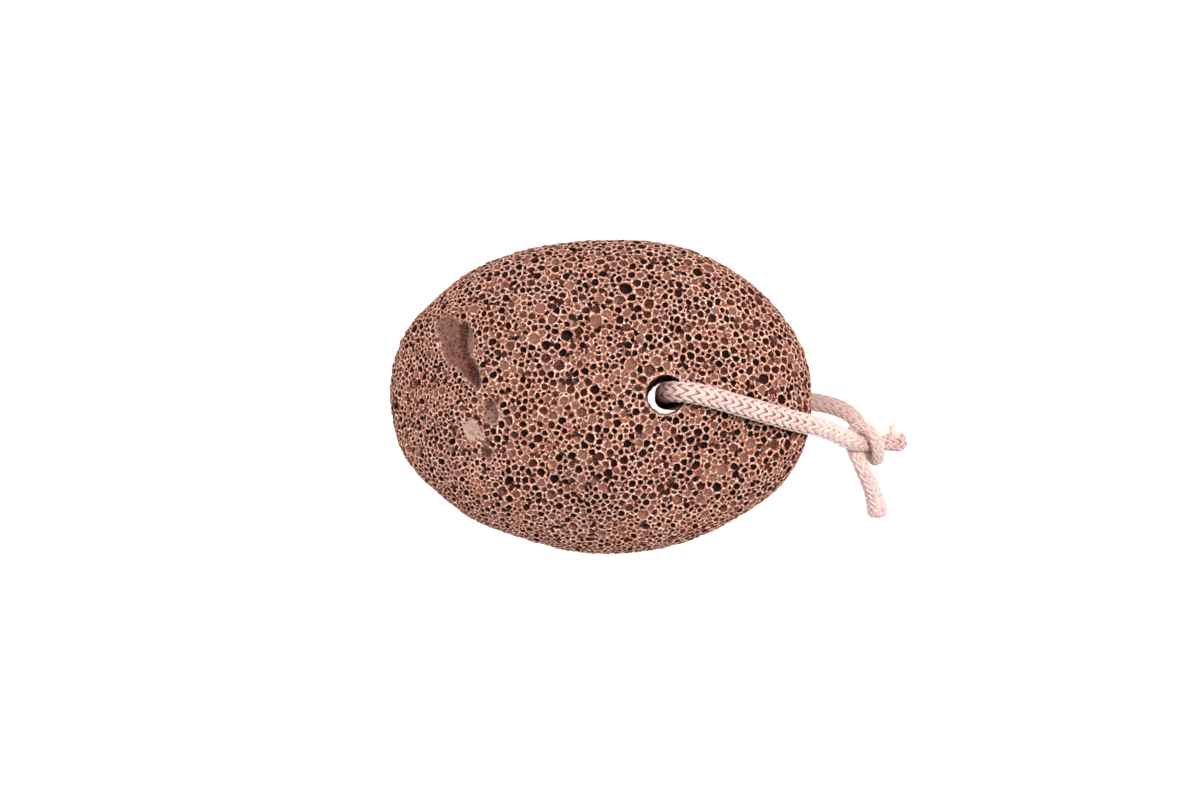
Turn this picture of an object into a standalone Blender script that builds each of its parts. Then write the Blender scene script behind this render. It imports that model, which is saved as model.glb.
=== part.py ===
"""Pumice foot stone on a cord: a rounded lava pebble, pitted all over, with a hole
for a loop of braided cord whose two ends are tied in a half knot beside it.

Every size is in millimetres and is scaled to metres when a mesh is made. The
stone rests on its worn underside at z = 0, with its long way along X.
"""
import math
import random

import bmesh
import bpy
import numpy as np

MM = 0.001
SEED = 41
NORMAL_STEP = 0.02

# Stone: its half sizes, and its outline seen from above as radii every 24 degrees from +X
HALF_LENGTH = 50.0
HALF_WIDTH = 37.5
OUTLINE_RADII = (
    50.3, 47.2, 42.2, 38.2, 37.0, 39.1, 44.2, 50.0, 50.0, 43.8, 39.0, 37.6, 38.6, 42.0, 48.2)
GIRTH_HEIGHT = 24.3
TOP_RISE = 17.4
UNDER_DEPTH = 25.7
TOP_FULLNESS = 0.80
UNDER_FULLNESS = 1.28
BELLY_SHIFT = 19.0

# Stone: a swelling under the middle as (x, y, spread, height), worn flat at z = 0
HEEL = (0.5, 0.5, 8.0, 2.4)

# Stone: the slope worn on its left shoulder
SHOULDER_NORMAL = (-0.66, 0.02, 0.75)
SHOULDER_REACH = 50.6
SHOULDER_SOFTNESS = 1.6

# Stone: broad unevenness as (height, wavelength, direction, phase)
LUMPS = (
    (0.45, 34.0, (0.80, 0.50, 0.33), 0.4),
    (0.40, 27.0, (-0.45, 0.85, 0.27), 2.1),
    (0.30, 19.0, (0.62, -0.70, 0.36), 4.0),
    (0.22, 13.0, (-0.30, -0.55, 0.78), 1.2),
)

# Smooth hollows on top as (x, y, half length, half width, angle in degrees, depth). The first
# four run together into one leaf-shaped hollow, deepest along its right side
HOLLOWS = (
    (-35.1, 14.9, 4.2, 3.6, -60.0, 1.7),
    (-33.2, 9.6, 5.0, 3.3, -50.0, 2.0),
    (-31.2, 13.0, 4.6, 2.0, -82.0, 3.1),
    (-30.4, 6.4, 5.4, 2.1, -60.0, 2.8),
    (-25.2, -3.9, 3.4, 1.9, -80.0, 1.4),
    (-29.5, -8.3, 3.0, 2.0, -52.0, 0.5),
    (-26.3, -13.1, 1.7, 1.4, 0.0, 0.8),
)

# Hole for the cord, drilled a little askew
HOLE_TOP = (14.9, 0.0)
HOLE_FOOT = (15.9, -1.5)
HOLE_RADIUS = 4.35
HOLE_SIDES = 18
HOLE_RINGS = 3
HOLE_LIP = 0.9
HOLE_MARGIN = 0.3

# Flat place on the underside, kept free of pits
REST_SPOT = (-12.0, -1.0)
REST_SPOT_RADIUS = 5.0

# Pits: the first three cells are kept for the hole's mouths and the flat place. The others
# are thrown from the widest down, as (radius, tries)
TOP_MOUTH, FOOT_MOUTH, REST_CELL = 0, 1, 2
PIT_ROUNDS = ((2.7, 90), (2.35, 320), (2.0, 1500), (1.75, 5000), (1.5, 12000), (1.25, 12000))
POLE_BIAS = 1.6
WIDE_PIT = 2.3
WIDE_PIT_SIDES = 8
PIT_WALL = 0.30
PIT_DEPTH = 1.1
SHALLOWEST_PIT = 0.55
FINE_PITS = 0.84
FINE_PITS_LEFT_OF = -24.0
FINE_PITS_EASE = 8.0
CORNER_PULL = 0.18
FLIPS_PER_PIT = 40

# Cord: its route from the short end to the long one, with a half knot near both ends
CORD_RADIUS = 2.5
CORD_ROUTE = (
    (75.5, -11.6, 4.5), (73.3, -11.5, 4.9), (71.1, -11.6, 5.8), (68.6, -11.9, 7.4),
    (66.3, -12.1, 8.5), (64.1, -11.9, 10.2), (62.0, -11.4, 12.3), (59.9, -10.7, 14.8),
    (57.6, -9.7, 17.9), (55.3, -8.8, 21.7), (52.8, -8.0, 26.4), (50.0, -7.2, 31.6),
    (46.2, -6.4, 35.5), (41.0, -5.0, 38.7), (34.8, -3.3, 41.1), (28.5, -1.5, 43.0),
    (23.5, -0.1, 44.4), (19.3, 0.6, 44.5), (16.2, 0.7, 42.2), (15.1, 0.5, 38.0),
    (15.1, 0.2, 31.0), (15.3, -0.4, 23.0), (15.5, -0.8, 15.0), (15.8, -1.1, 9.6),
    (17.0, -1.3, 5.6), (19.4, -1.5, 3.2), (22.6, -1.6, 2.6), (28.0, -1.8, 2.6),
    (35.0, -1.6, 2.6), (43.0, -1.3, 2.6), (49.0, -1.3, 2.6), (53.2, -1.7, 2.8),
    (55.9, -2.2, 3.3), (58.8, -3.1, 3.9), (61.3, -4.4, 4.6), (63.3, -6.3, 5.0),
    (64.7, -8.6, 4.9), (65.4, -10.7, 4.8), (66.0, -12.9, 4.8), (66.9, -14.9, 5.3),
    (67.7, -15.8, 7.5), (68.0, -14.7, 10.4), (67.4, -12.1, 12.4), (66.3, -9.6, 12.8),
    (64.6, -8.0, 11.7), (62.7, -8.1, 9.5), (61.9, -10.3, 7.5), (62.2, -12.9, 6.8),
    (63.4, -15.7, 7.8), (64.6, -18.4, 7.8), (66.3, -21.4, 6.2), (67.7, -24.3, 4.1),
    (68.6, -27.4, 2.9), (68.7, -30.2, 2.6),
)

# Cord: its radius where the knot squeezes it, as (run from the short end, radius)
CORD_SQUEEZE = (
    (0.0, 2.35), (2.2, 2.3), (4.7, 2.1), (7.5, 1.75), (10.2, 1.7), (13.0, 1.9), (16.0, 2.25),
    (19.2, 2.45), (24.0, 2.5), (144.0, 2.5), (158.7, 2.35), (161.5, 2.25), (164.2, 2.1),
    (167.0, 1.8), (169.2, 1.7), (188.5, 1.7), (191.5, 1.75), (194.5, 1.85), (197.2, 1.9),
    (200.5, 2.0), (203.5, 2.1), (207.2, 2.25), (211.2, 2.4), (214.6, 2.5),
)

# Cord: a new point of the modelled route comes after this much turn or run
ROUTE_TURN = math.radians(15.0)
ROUTE_STEP = 10.0

STONE_COLOUR = (0.42, 0.19, 0.13, 1.0)
CORD_COLOUR = (0.83, 0.60, 0.54, 1.0)


def clear_scene():
    for thing in list(bpy.data.objects):
        bpy.data.objects.remove(thing, do_unlink=True)


def plain_material(name, colour, roughness):
    material = bpy.data.materials.new(name)
    material.use_nodes = True
    shader = material.node_tree.nodes["Principled BSDF"]
    shader.inputs["Base Color"].default_value = colour
    shader.inputs["Roughness"].default_value = roughness
    shader.inputs["Metallic"].default_value = 0.0
    return material


def unit(vectors):
    return vectors / np.linalg.norm(vectors, axis=-1, keepdims=True)


def tangents(normal):
    """Two unit directions square to a normal and to each other, for one or many normals."""
    steep = np.abs(normal[..., 2:]) > 0.9
    side = unit(np.cross(normal, np.where(steep, (1.0, 0.0, 0.0), (0.0, 0.0, 1.0))))
    return side, np.cross(normal, side)


# ---------------------------------------------------------------- stone surface

def outline_radius(angle):
    """Outline radius at each angle, on a closed Catmull-Rom curve through the radii."""
    radii = np.array(OUTLINE_RADII)
    count = len(radii)
    turn = (angle / (2.0 * math.pi)) % 1.0 * count
    index = np.floor(turn).astype(int)
    t = turn - index
    before = radii[(index - 1) % count]
    here = radii[index % count]
    after = radii[(index + 1) % count]
    beyond = radii[(index + 2) % count]
    return here + 0.5 * t * (
        after - before
        + t * (2 * before - 5 * here + 4 * after - beyond + t * (3 * (here - after) + beyond - before)))


def stone_surface(direction):
    """The stone without its pits: one point for each unit direction in an (n, 3) array."""
    flat = np.hypot(direction[:, 0], direction[:, 1])
    rise = direction[:, 2]
    angle = np.arctan2(direction[:, 1], direction[:, 0])
    above = rise > 0.0
    radius = outline_radius(angle) * flat ** np.where(above, TOP_FULLNESS, UNDER_FULLNESS)
    belly = np.where(above, 0.0, BELLY_SHIFT * rise ** 2)
    point = np.stack([
        radius * np.cos(angle) - belly,
        radius * np.sin(angle),
        GIRTH_HEIGHT + np.where(above, TOP_RISE, UNDER_DEPTH) * rise], axis=1)

    swell = np.zeros(len(point))
    for height, wavelength, heading, phase in LUMPS:
        swell += height * np.sin(point @ np.array(heading) * 2.0 * math.pi / wavelength + phase)
    point = point + direction * (swell * (0.3 + 0.7 * np.abs(rise)))[:, None]

    x, y, spread, height = HEEL
    heel = height * np.exp(-((point[:, 0] - x) ** 2 + (point[:, 1] - y) ** 2) / (2.0 * spread ** 2))
    point[:, 2] -= np.where(above, 0.0, heel)

    normal = unit(np.array(SHOULDER_NORMAL))
    over = (point @ normal - SHOULDER_REACH) / SHOULDER_SOFTNESS
    point = point - normal * (SHOULDER_SOFTNESS * np.logaddexp(0.0, over))[:, None]

    dent = np.zeros(len(point))
    for x, y, half_length, half_width, degrees, depth in HOLLOWS:
        turn = math.radians(degrees)
        along = (point[:, 0] - x) * math.cos(turn) + (point[:, 1] - y) * math.sin(turn)
        across = (point[:, 1] - y) * math.cos(turn) - (point[:, 0] - x) * math.sin(turn)
        inside = 1.0 - (along / half_length) ** 2 - (across / half_width) ** 2
        dent = np.maximum(dent, depth * np.clip(inside, 0.0, 1.0) ** 0.7)
    point[:, 2] -= np.where(above, dent, 0.0)

    point[:, 2] = np.maximum(point[:, 2], 0.0)
    return point


def surface_normal(direction):
    """Outward normals of the stone, from small steps of the direction."""
    side, other = (NORMAL_STEP * s for s in tangents(direction))
    run = stone_surface(unit(direction + side)) - stone_surface(unit(direction - side))
    climb = stone_surface(unit(direction + other)) - stone_surface(unit(direction - other))
    return unit(np.cross(run, climb))


def direction_at(x, y, side):
    """The direction whose point on the top (side 1) or underside (side -1) is at x, y."""
    half = np.array([HALF_LENGTH, HALF_WIDTH])
    guess = np.array([x, y]) / half
    for _ in range(60):
        flat = min(0.98, float(np.linalg.norm(guess)))
        guess = guess / max(1e-9, np.linalg.norm(guess)) * flat
        direction = np.array([[guess[0], guess[1], side * math.sqrt(1.0 - flat * flat)]])
        miss = np.array([x, y]) - stone_surface(direction)[0, :2]
        guess = guess + 0.5 * miss / half
    return direction[0]


# ---------------------------------------------------------------- pits

def pit_size(point):
    """Share of their full width that pits grow to at each point: less toward the left end."""
    left = np.clip((FINE_PITS_LEFT_OF - point[:, 0]) / FINE_PITS_EASE, 0.0, 1.0)
    return 1.0 - (1.0 - FINE_PITS) * left


def scatter_pits(placed):
    """Throws pit centres on the stone so that none overlap. Returns directions and radii."""
    draw = np.random.default_rng(SEED)
    directions = [np.array(d) for d, _ in placed]
    radii = [r for _, r in placed]
    points = [stone_surface(d[None])[0] for d in directions]
    cell = 2.0 * PIT_ROUNDS[0][0]
    grid = {}
    for radius, tries in PIT_ROUNDS:
        heading = unit(draw.normal(size=(tries, 3)) * (1.0, 1.0, POLE_BIAS))
        spots = stone_surface(heading)
        sizes = radius * pit_size(spots)
        for direction, spot, size in zip(heading, spots, sizes):
            key = tuple(np.floor(spot / cell).astype(int))
            near = list(range(len(placed)))
            for i in (-1, 0, 1):
                for j in (-1, 0, 1):
                    for k in (-1, 0, 1):
                        near += grid.get((key[0] + i, key[1] + j, key[2] + k), ())
            if all(np.dot(spot - points[n], spot - points[n]) > (size + radii[n]) ** 2 for n in near):
                grid.setdefault(key, []).append(len(points))
                directions.append(direction)
                points.append(spot)
                radii.append(size)
    return np.array(directions), np.array(points), np.array(radii)


def hull_triangles(directions):
    """Triangles that join the centres all round, from the hull of their directions."""
    shell = bmesh.new()
    vertices = [shell.verts.new(d) for d in directions]
    shell.verts.index_update()
    bmesh.ops.convex_hull(shell, input=vertices, use_existing_faces=False)
    triangles = []
    for face in shell.faces:
        a, b, c = (v.index for v in face.verts)
        facing = np.cross(directions[b] - directions[a], directions[c] - directions[a])
        if facing @ directions[a] < 0.0:
            b, c = c, b
        triangles.append((a, b, c))
    shell.free()
    return triangles


def seen_flat(points, normal):
    """Points seen along a normal, as 2D coordinates."""
    side, other = tangents(normal)
    return [(float(p @ side), float(p @ other)) for p in points]


def turn_edges(triangles, points, radii):
    """Flips edges until each wall lies between the two pits that it parts."""
    third = {}
    for a, b, c in triangles:
        third[a, b], third[b, c], third[c, a] = c, a, b
    waiting = [edge for edge in third if edge[0] < edge[1]]
    weight = radii ** 2
    flips = 0
    while waiting and flips < FLIPS_PER_PIT * len(points):
        a, b = waiting.pop()
        if (a, b) not in third:
            continue
        c, d = third[a, b], third[b, a]
        corner = [points[i] for i in (a, b, c, d)]
        normal = np.cross(corner[1] - corner[0], corner[2] - corner[0])
        normal = normal - np.cross(corner[1] - corner[0], corner[3] - corner[0])
        length = np.linalg.norm(normal)
        if length < 1e-9:
            continue
        (ax, ay), (bx, by), (cx, cy), (dx, dy) = seen_flat(corner, normal / length)
        if (dx - ax) * (cy - ay) - (dy - ay) * (cx - ax) <= 1e-6:
            continue
        if (bx - dx) * (cy - dy) - (by - dy) * (cx - dx) <= 1e-6:
            continue
        rows = [(x - dx, y - dy, (x - dx) ** 2 + (y - dy) ** 2 - weight[i] + weight[d])
                for i, x, y in ((a, ax, ay), (b, bx, by), (c, cx, cy))]
        (p, q, r), (s, t, u), (v, w, x) = rows
        if p * (t * x - u * w) - q * (s * x - u * v) + r * (s * w - t * v) <= 1e-7:
            continue
        del third[a, b], third[b, a]
        third[a, d], third[d, c], third[c, a] = c, a, d
        third[d, b], third[b, c], third[c, d] = c, d, b
        waiting += [(a, d), (c, a), (d, b), (b, c)]
        flips += 1
    return third


def wall_corners(third, directions, points, radii):
    """Where three pits' walls meet: a direction for each triangle, and each pit's ring of them."""
    corner_index = {}
    corner_directions = []
    rings = {}
    for start, following in list(third):
        if start in rings:
            continue
        ring = []
        spoke = following
        while True:
            a, b, c = start, spoke, third[start, spoke]
            key = tuple(sorted((a, b, c)))
            if key not in corner_index:
                corner_index[key] = len(corner_directions)
                one, two = points[b] - points[a], points[c] - points[a]
                gram = np.array([[one @ one, one @ two], [one @ two, two @ two]])
                right = 0.5 * np.array([
                    one @ one + radii[a] ** 2 - radii[b] ** 2,
                    two @ two + radii[a] ** 2 - radii[c] ** 2])
                s, t = np.linalg.solve(gram, right)
                share = (1.0 - CORNER_PULL) * np.array([1.0 - s - t, s, t]) + CORNER_PULL / 3.0
                share = np.clip(share, -CORNER_PULL, 1.0)
                share = share / share.sum()
                corner_directions.append(share @ directions[[a, b, c]])
            ring.append(corner_index[key])
            spoke = c
            if spoke == following:
                break
        rings[start] = ring
    return unit(np.array(corner_directions)), rings


def join_rings(outer, outer_angles, inner, inner_angles):
    """Triangles between an outer and an inner ring, both anticlockwise."""
    faces = []
    shift = int(np.argmin([(a - outer_angles[0]) % (2 * math.pi) for a in inner_angles]))
    inner = inner[shift:] + inner[:shift]
    inner_angles = inner_angles[shift:] + inner_angles[:shift]
    inner_turn = [(a - outer_angles[0]) % (2 * math.pi) for a in inner_angles]
    outer_turn = [(a - outer_angles[0]) % (2 * math.pi) for a in outer_angles]
    inner_turn.append(inner_turn[0] + 2 * math.pi)
    outer_turn.append(2 * math.pi)
    i = j = 0
    while i < len(outer) or j < len(inner):
        if j >= len(inner) or (i < len(outer) and outer_turn[i + 1] <= inner_turn[j + 1]):
            faces.append((outer[i % len(outer)], outer[(i + 1) % len(outer)], inner[j % len(inner)]))
            i += 1
        else:
            faces.append((outer[i % len(outer)], inner[(j + 1) % len(inner)], inner[j % len(inner)]))
            j += 1
    return faces


class StoneMesh:
    """Vertices and triangles of the pitted stone as they are added."""

    def __init__(self):
        self.vertices = []
        self.faces = []

    def add(self, points):
        first = len(self.vertices)
        self.vertices += [tuple(p) for p in points]
        return list(range(first, len(self.vertices)))


def pit_ring(corners, centre, normal, sides, wall):
    """A rounded rim inside a pit's walls, as points and angles, and the corners' angles."""
    around = seen_flat([p - centre for p in corners], normal)
    corner_angles = [math.atan2(y, x) for x, y in around]
    side, other = tangents(normal)
    reach = min(
        abs(x1 * y2 - x2 * y1) / math.hypot(x2 - x1, y2 - y1)
        for (x1, y1), (x2, y2) in zip(around, around[1:] + around[:1]))
    angles = [2.0 * math.pi * k / sides for k in range(sides)]
    points = [centre + (reach - wall) * (math.cos(a) * side + math.sin(a) * other) for a in angles]
    for point in points:
        point[2] = max(point[2], 0.0)
    return points, angles, corner_angles


def hole_ring(side, flare, sink):
    """A ring of the hole at one mouth: on the surface there, wider by flare and sunk into it."""
    mouth = HOLE_TOP if side > 0 else HOLE_FOOT
    points = []
    for k in range(HOLE_SIDES):
        turn = 2.0 * math.pi * k / HOLE_SIDES
        x = mouth[0] + (HOLE_RADIUS + flare) * math.cos(turn)
        y = mouth[1] + (HOLE_RADIUS + flare) * math.sin(turn)
        height = stone_surface(direction_at(x, y, side)[None])[0, 2]
        points.append(np.array([x, y, height - side * sink]))
    return points


def add_hole(shell, rings, corner_points):
    """Lines the hole from its top mouth to its foot."""
    turns = [2.0 * math.pi * k / HOLE_SIDES for k in range(HOLE_SIDES)]
    levels = []
    for side, pit in ((1, TOP_MOUTH), (-1, FOOT_MOUTH)):
        mouth = HOLE_TOP if side > 0 else HOLE_FOOT
        ring = rings[pit]
        angles = [math.atan2(corner_points[c][1] - mouth[1], corner_points[c][0] - mouth[0]) for c in ring]
        lip = shell.add(hole_ring(side, HOLE_LIP, 0.0))
        if side > 0:
            shell.faces += join_rings(ring, angles, lip, turns)
        else:
            mirrored = join_rings(ring[::-1], angles[::-1], lip, turns)
            shell.faces += [(a, c, b) for a, b, c in mirrored]
        levels.append(lip)
        levels.append(shell.add(hole_ring(side, 0.0, HOLE_LIP)))
    top_lip, top, foot_lip, foot = levels
    high = np.array([shell.vertices[i] for i in top])
    low = np.array([shell.vertices[i] for i in foot])
    inner = [shell.add(high + (low - high) * k / HOLE_RINGS) for k in range(1, HOLE_RINGS)]
    walls = [top_lip, top] + inner + [foot, foot_lip]
    for upper, lower in zip(walls, walls[1:]):
        for k in range(HOLE_SIDES):
            n = (k + 1) % HOLE_SIDES
            shell.faces.append((upper[k], upper[n], lower[n]))
            shell.faces.append((upper[k], lower[n], lower[k]))


def build_stone():
    draw = random.Random(SEED)
    placed = [
        (direction_at(*HOLE_TOP, 1), HOLE_RADIUS + HOLE_LIP + HOLE_MARGIN),
        (direction_at(*HOLE_FOOT, -1), HOLE_RADIUS + HOLE_LIP + HOLE_MARGIN),
        (direction_at(*REST_SPOT, -1), REST_SPOT_RADIUS)]
    directions, points, radii = scatter_pits(placed)
    third = turn_edges(hull_triangles(directions), points, radii)
    corner_directions, rings = wall_corners(third, directions, points, radii)
    corner_points = stone_surface(corner_directions)
    normals = surface_normal(directions)

    shell = StoneMesh()
    shell.add(corner_points)
    add_hole(shell, rings, corner_points)
    for pit in range(REST_CELL, len(points)):
        ring = rings[pit]
        around = corner_points[ring]
        centre = 0.5 * around.mean(axis=0) + 0.5 * points[pit]
        depth = PIT_DEPTH * radii[pit] * draw.uniform(SHALLOWEST_PIT, 1.0)
        if pit == REST_CELL:
            centre = points[pit]
            depth = 0.0
        if radii[pit] > WIDE_PIT and pit != REST_CELL:
            rim, angles, corner_angles = pit_ring(around, centre, normals[pit], WIDE_PIT_SIDES, PIT_WALL)
            rim_index = shell.add(rim)
            shell.faces += join_rings(ring, corner_angles, rim_index, angles)
            ring = rim_index
        floor = shell.add([centre - normals[pit] * depth])[0]
        for k, corner in enumerate(ring):
            shell.faces.append((corner, ring[(k + 1) % len(ring)], floor))

    mesh = bpy.data.meshes.new("stone")
    mesh.from_pydata([[c * MM for c in v] for v in shell.vertices], [], shell.faces)
    mesh.validate()
    stone = bpy.data.objects.new("stone", mesh)
    bpy.context.collection.objects.link(stone)
    mesh.materials.append(plain_material("pumice", STONE_COLOUR, 0.95))
    return stone


# ---------------------------------------------------------------- cord

def smooth_route(points, per_span=24):
    """A natural cubic curve through the route's points, read closely."""
    points = np.array(points)
    run = np.concatenate([[0.0], np.cumsum(np.linalg.norm(np.diff(points, axis=0), axis=1))])
    gap = np.diff(run)
    count = len(points)
    system = np.eye(count)
    right = np.zeros((count, 3))
    for i in range(1, count - 1):
        system[i, i - 1:i + 2] = gap[i - 1], 2.0 * (gap[i - 1] + gap[i]), gap[i]
        right[i] = 6.0 * ((points[i + 1] - points[i]) / gap[i] - (points[i] - points[i - 1]) / gap[i - 1])
    bend = np.linalg.solve(system, right)
    curve = []
    for i in range(count - 1):
        for t in np.linspace(0.0, 1.0, per_span, endpoint=False):
            a, b = 1.0 - t, t
            curve.append(a * points[i] + b * points[i + 1] + gap[i] ** 2 / 6.0 * (
                (a ** 3 - a) * bend[i] + (b ** 3 - b) * bend[i + 1]))
    curve.append(points[-1])
    return np.array(curve)


def thin_route(curve):
    """Which of a curve's points to keep: one wherever the cord has run or turned enough."""
    kept = [0]
    heading = unit(np.diff(curve, axis=0))
    run = turned = 0.0
    for i in range(1, len(curve) - 1):
        run += float(np.linalg.norm(curve[i] - curve[i - 1]))
        turned += math.acos(min(1.0, float(heading[i] @ heading[i - 1])))
        if run >= ROUTE_STEP or turned >= ROUTE_TURN:
            kept.append(i)
            run = turned = 0.0
    kept.append(len(curve) - 1)
    return kept


def cord_radii(curve):
    """The cord's radius at each point of its curve."""
    run = np.concatenate([[0.0], np.cumsum(np.linalg.norm(np.diff(curve, axis=0), axis=1))])
    return np.interp(run, *np.transpose(CORD_SQUEEZE))


def build_cord():
    route = smooth_route(CORD_ROUTE)
    radii = cord_radii(route)
    kept = thin_route(route)
    curve = bpy.data.curves.new("cord", "CURVE")
    curve.dimensions = "3D"
    curve.bevel_depth = CORD_RADIUS * MM
    curve.bevel_resolution = 2
    curve.use_fill_caps = True
    spline = curve.splines.new("POLY")
    spline.points.add(len(kept) - 1)
    for spot, index in zip(spline.points, kept):
        spot.co = (*(route[index] * MM), 1.0)
        spot.radius = radii[index] / CORD_RADIUS
    cord = bpy.data.objects.new("cord", curve)
    bpy.context.collection.objects.link(cord)
    curve.materials.append(plain_material("braided cotton", CORD_COLOUR, 0.9))
    return cord


def main():
    clear_scene()
    build_stone()
    build_cord()


main()
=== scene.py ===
"""Looks of a pumice foot stone on a loop of braided cord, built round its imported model.

Lengths are in metres, apart from those of the stone, which is worked out in
millimetres and scaled when its mesh is made.
"""

import math

import bmesh
import bpy
import numpy as np
from bpy.props import FloatProperty, FloatVectorProperty, PointerProperty
from mathutils import Color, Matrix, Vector
from mathutils.kdtree import KDTree


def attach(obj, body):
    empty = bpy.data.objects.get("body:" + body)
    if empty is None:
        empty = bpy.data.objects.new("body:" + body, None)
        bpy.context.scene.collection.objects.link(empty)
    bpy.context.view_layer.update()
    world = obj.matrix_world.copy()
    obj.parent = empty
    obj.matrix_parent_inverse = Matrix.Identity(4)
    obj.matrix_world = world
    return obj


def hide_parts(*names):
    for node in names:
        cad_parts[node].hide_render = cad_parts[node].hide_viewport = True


bl_info = {
    "name": "Pumice Foot Stone",
    "version": (1, 0, 0),
    "blender": (4, 5, 0),
    "location": "3D View > Sidebar > Pumice",
    "description": "Builds a pored pumice stone, its braided cord and a small studio",
    "category": "Add Mesh",
}

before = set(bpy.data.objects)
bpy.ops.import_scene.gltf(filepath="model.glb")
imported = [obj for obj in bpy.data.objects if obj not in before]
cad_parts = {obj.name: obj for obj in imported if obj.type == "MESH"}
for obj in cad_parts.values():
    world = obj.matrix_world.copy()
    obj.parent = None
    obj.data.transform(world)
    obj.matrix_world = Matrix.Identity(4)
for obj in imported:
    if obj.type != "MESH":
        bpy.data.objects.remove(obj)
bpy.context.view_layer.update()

BODY = "root"
STONE_NODE = "stone"
CORD_NODE = "cord"
SEED = 41
MM = 0.001
GOLDEN_RATIO = 0.5 * (1.0 + math.sqrt(5.0))

# ---- Stone, in millimetres, the same surface as the solid it stands for
# Outline from above: half its size each way, and its radius at equal angles
HALF_LENGTH = 50.0
HALF_WIDTH = 37.5
OUTLINE_RADII = (
    50.3, 47.2, 42.2, 38.2, 37.0, 39.1, 44.2, 50.0, 50.0, 43.8, 39.0, 37.6, 38.6, 42.0, 48.2)
# Height of the outline, what rises above it and hangs below it, and how square each half is
GIRTH_HEIGHT = 24.3
TOP_RISE = 17.4
UNDER_DEPTH = 25.7
TOP_FULLNESS = 0.80
UNDER_FULLNESS = 1.28
BELLY_SHIFT = 19.0
# Worn face underneath, as (x, y, spread, height)
HEEL = (0.5, 0.5, 8.0, 2.4)
# Flatter place on the upper left
SHOULDER_NORMAL = (-0.66, 0.02, 0.75)
SHOULDER_REACH = 50.6
SHOULDER_SOFTNESS = 1.6
# Low swellings, as (height, wavelength, heading, phase), and their share at the girth
LUMPS = (
    (0.45, 34.0, (0.80, 0.50, 0.33), 0.4),
    (0.40, 27.0, (-0.45, 0.85, 0.27), 2.1),
    (0.30, 19.0, (0.62, -0.70, 0.36), 4.0),
    (0.22, 13.0, (-0.30, -0.55, 0.78), 1.2),
)
GIRTH_SWELL = 0.3

# Smooth hollows on top as (x, y, half length, half width, angle in degrees, depth, tone), where tone is how
# pale the middle is with its painted shade, 0 the darkest and 1 the palest. The first four run together into
# one
HOLLOWS = (
    (-35.1, 14.9, 4.2, 3.6, -60.0, 1.7, 0.55),
    (-33.2, 9.6, 5.0, 3.3, -50.0, 2.0, 0.50),
    (-31.2, 13.0, 4.6, 2.0, -82.0, 3.1, 0.80),
    (-30.4, 6.4, 5.4, 2.1, -60.0, 2.8, 0.45),
    (-25.2, -3.9, 3.4, 1.9, -80.0, 1.4, 0.60),
    (-29.5, -8.3, 3.0, 2.0, -52.0, 0.5, 1.00),
    (-26.3, -13.1, 1.7, 1.4, 0.0, 0.8, 0.20),
)
# How far in from their outlines they turn smooth, and take their painted shade, and the same for the streaks
HOLLOW_EDGE = 0.22
HOLLOW_SHADE = (-0.10, 0.35)
STREAK_SHADE = (-0.5, 0.6)
HOLLOW_BOWL = 0.7
HOLLOW_RAGGED = 0.07
# Waves that make their edges ragged, as (heading, phase)
RAGGED_WAVES = (((2.3, 1.1, 0.0), 0.4), ((-1.6, 2.7, 0.0), 1.9), ((4.1, -3.3, 0.0), 0.0))
# Streaks of painted shade along their valleys, as (x, y, half length, half width, angle in degrees, tone)
SHADE_STREAKS = (
    (-31.5, 15.5, 1.7, 0.9, -85.0, 0.00),
    (-31.7, 12.4, 4.6, 0.9, -84.0, 0.10),
    (-29.3, 4.8, 3.6, 1.3, -66.0, 0.05),
    (-25.6, -1.6, 1.6, 1.0, -80.0, 0.25),
    (-26.0, -12.8, 1.1, 0.9, 0.0, 0.15),
)

# Hole for the cord, drilled a little askew
HOLE_TOP = (14.9, 0.0)
HOLE_FOOT = (15.9, -1.5)
HOLE_RADIUS = 4.35
HOLE_SIDES = 36
HOLE_RINGS = 12
# The rings of its wall start and stop this share of its length inside the two mouths
RING_INSET = 0.02
HOLE_MARGIN = 0.25
HOLE_ROUGHNESS = 0.22
# Its lip is worn outwards, by the whole of this or at least this share of it
HOLE_LIP = 0.5
LIP_LEAST = 0.5
# Depth and painted shade of the lip, and of the wall, whose painted shade fades downwards
LIP_DEPTH = 0.1
LIP_PAINTED_SHADE = 0.3
HOLE_DEPTH = 0.5
HOLE_PAINTED_SHADE = 0.6
HOLE_SPOTS = 0.2

# Passes that find the stone's point above or below a place, and how near the edge they may come
FIT_PASSES = 60
FIT_EDGE = 0.98

# The first two cells of the stone's surface are the hole's mouths
TOP_MOUTH, FOOT_MOUTH = 0, 1
# Pores as (least radius, greatest radius, how many at most), from the widest down
PORE_ROUNDS = (
    (1.30, 1.62, 110),
    (1.05, 1.30, 560),
    (0.80, 1.05, 1800),
    (0.60, 0.80, 4000),
    (0.46, 0.60, 7000),
)
LEAST_PORE = 0.42
WIDEST_IN_HOLLOW = 1.0
# Places tried for them, which crowd a little towards the top and the underside
SPOTS = 110000
POLE_BIAS = 1.6
# Shares of its radius by which a pore may overlap the next and strays from its place
OVERLAP = 0.20
STRAY = 0.30
TURN_PASSES = 40
CORNER_PULL = 0.12

# Where pores are finer, as (heading, where that starts and is full, how much finer):
# at the left, the front and the back left
FINER = (
    ((-1.0, 0.0, 0.0), 20.0, 31.0, 0.28),
    ((0.0, -1.0, 0.0), 22.0, 33.0, 0.22),
    ((-0.35, 1.0, 0.0), 33.0, 44.0, 0.18),
)
HOLLOW_GRAIN = 0.62
# Smoothness from which a cell has no pit, and the painted shade in the middle of such a cell
CLOSED_FROM = 0.5
CLOSED_PAINTED_SHADE = 0.5
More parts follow.
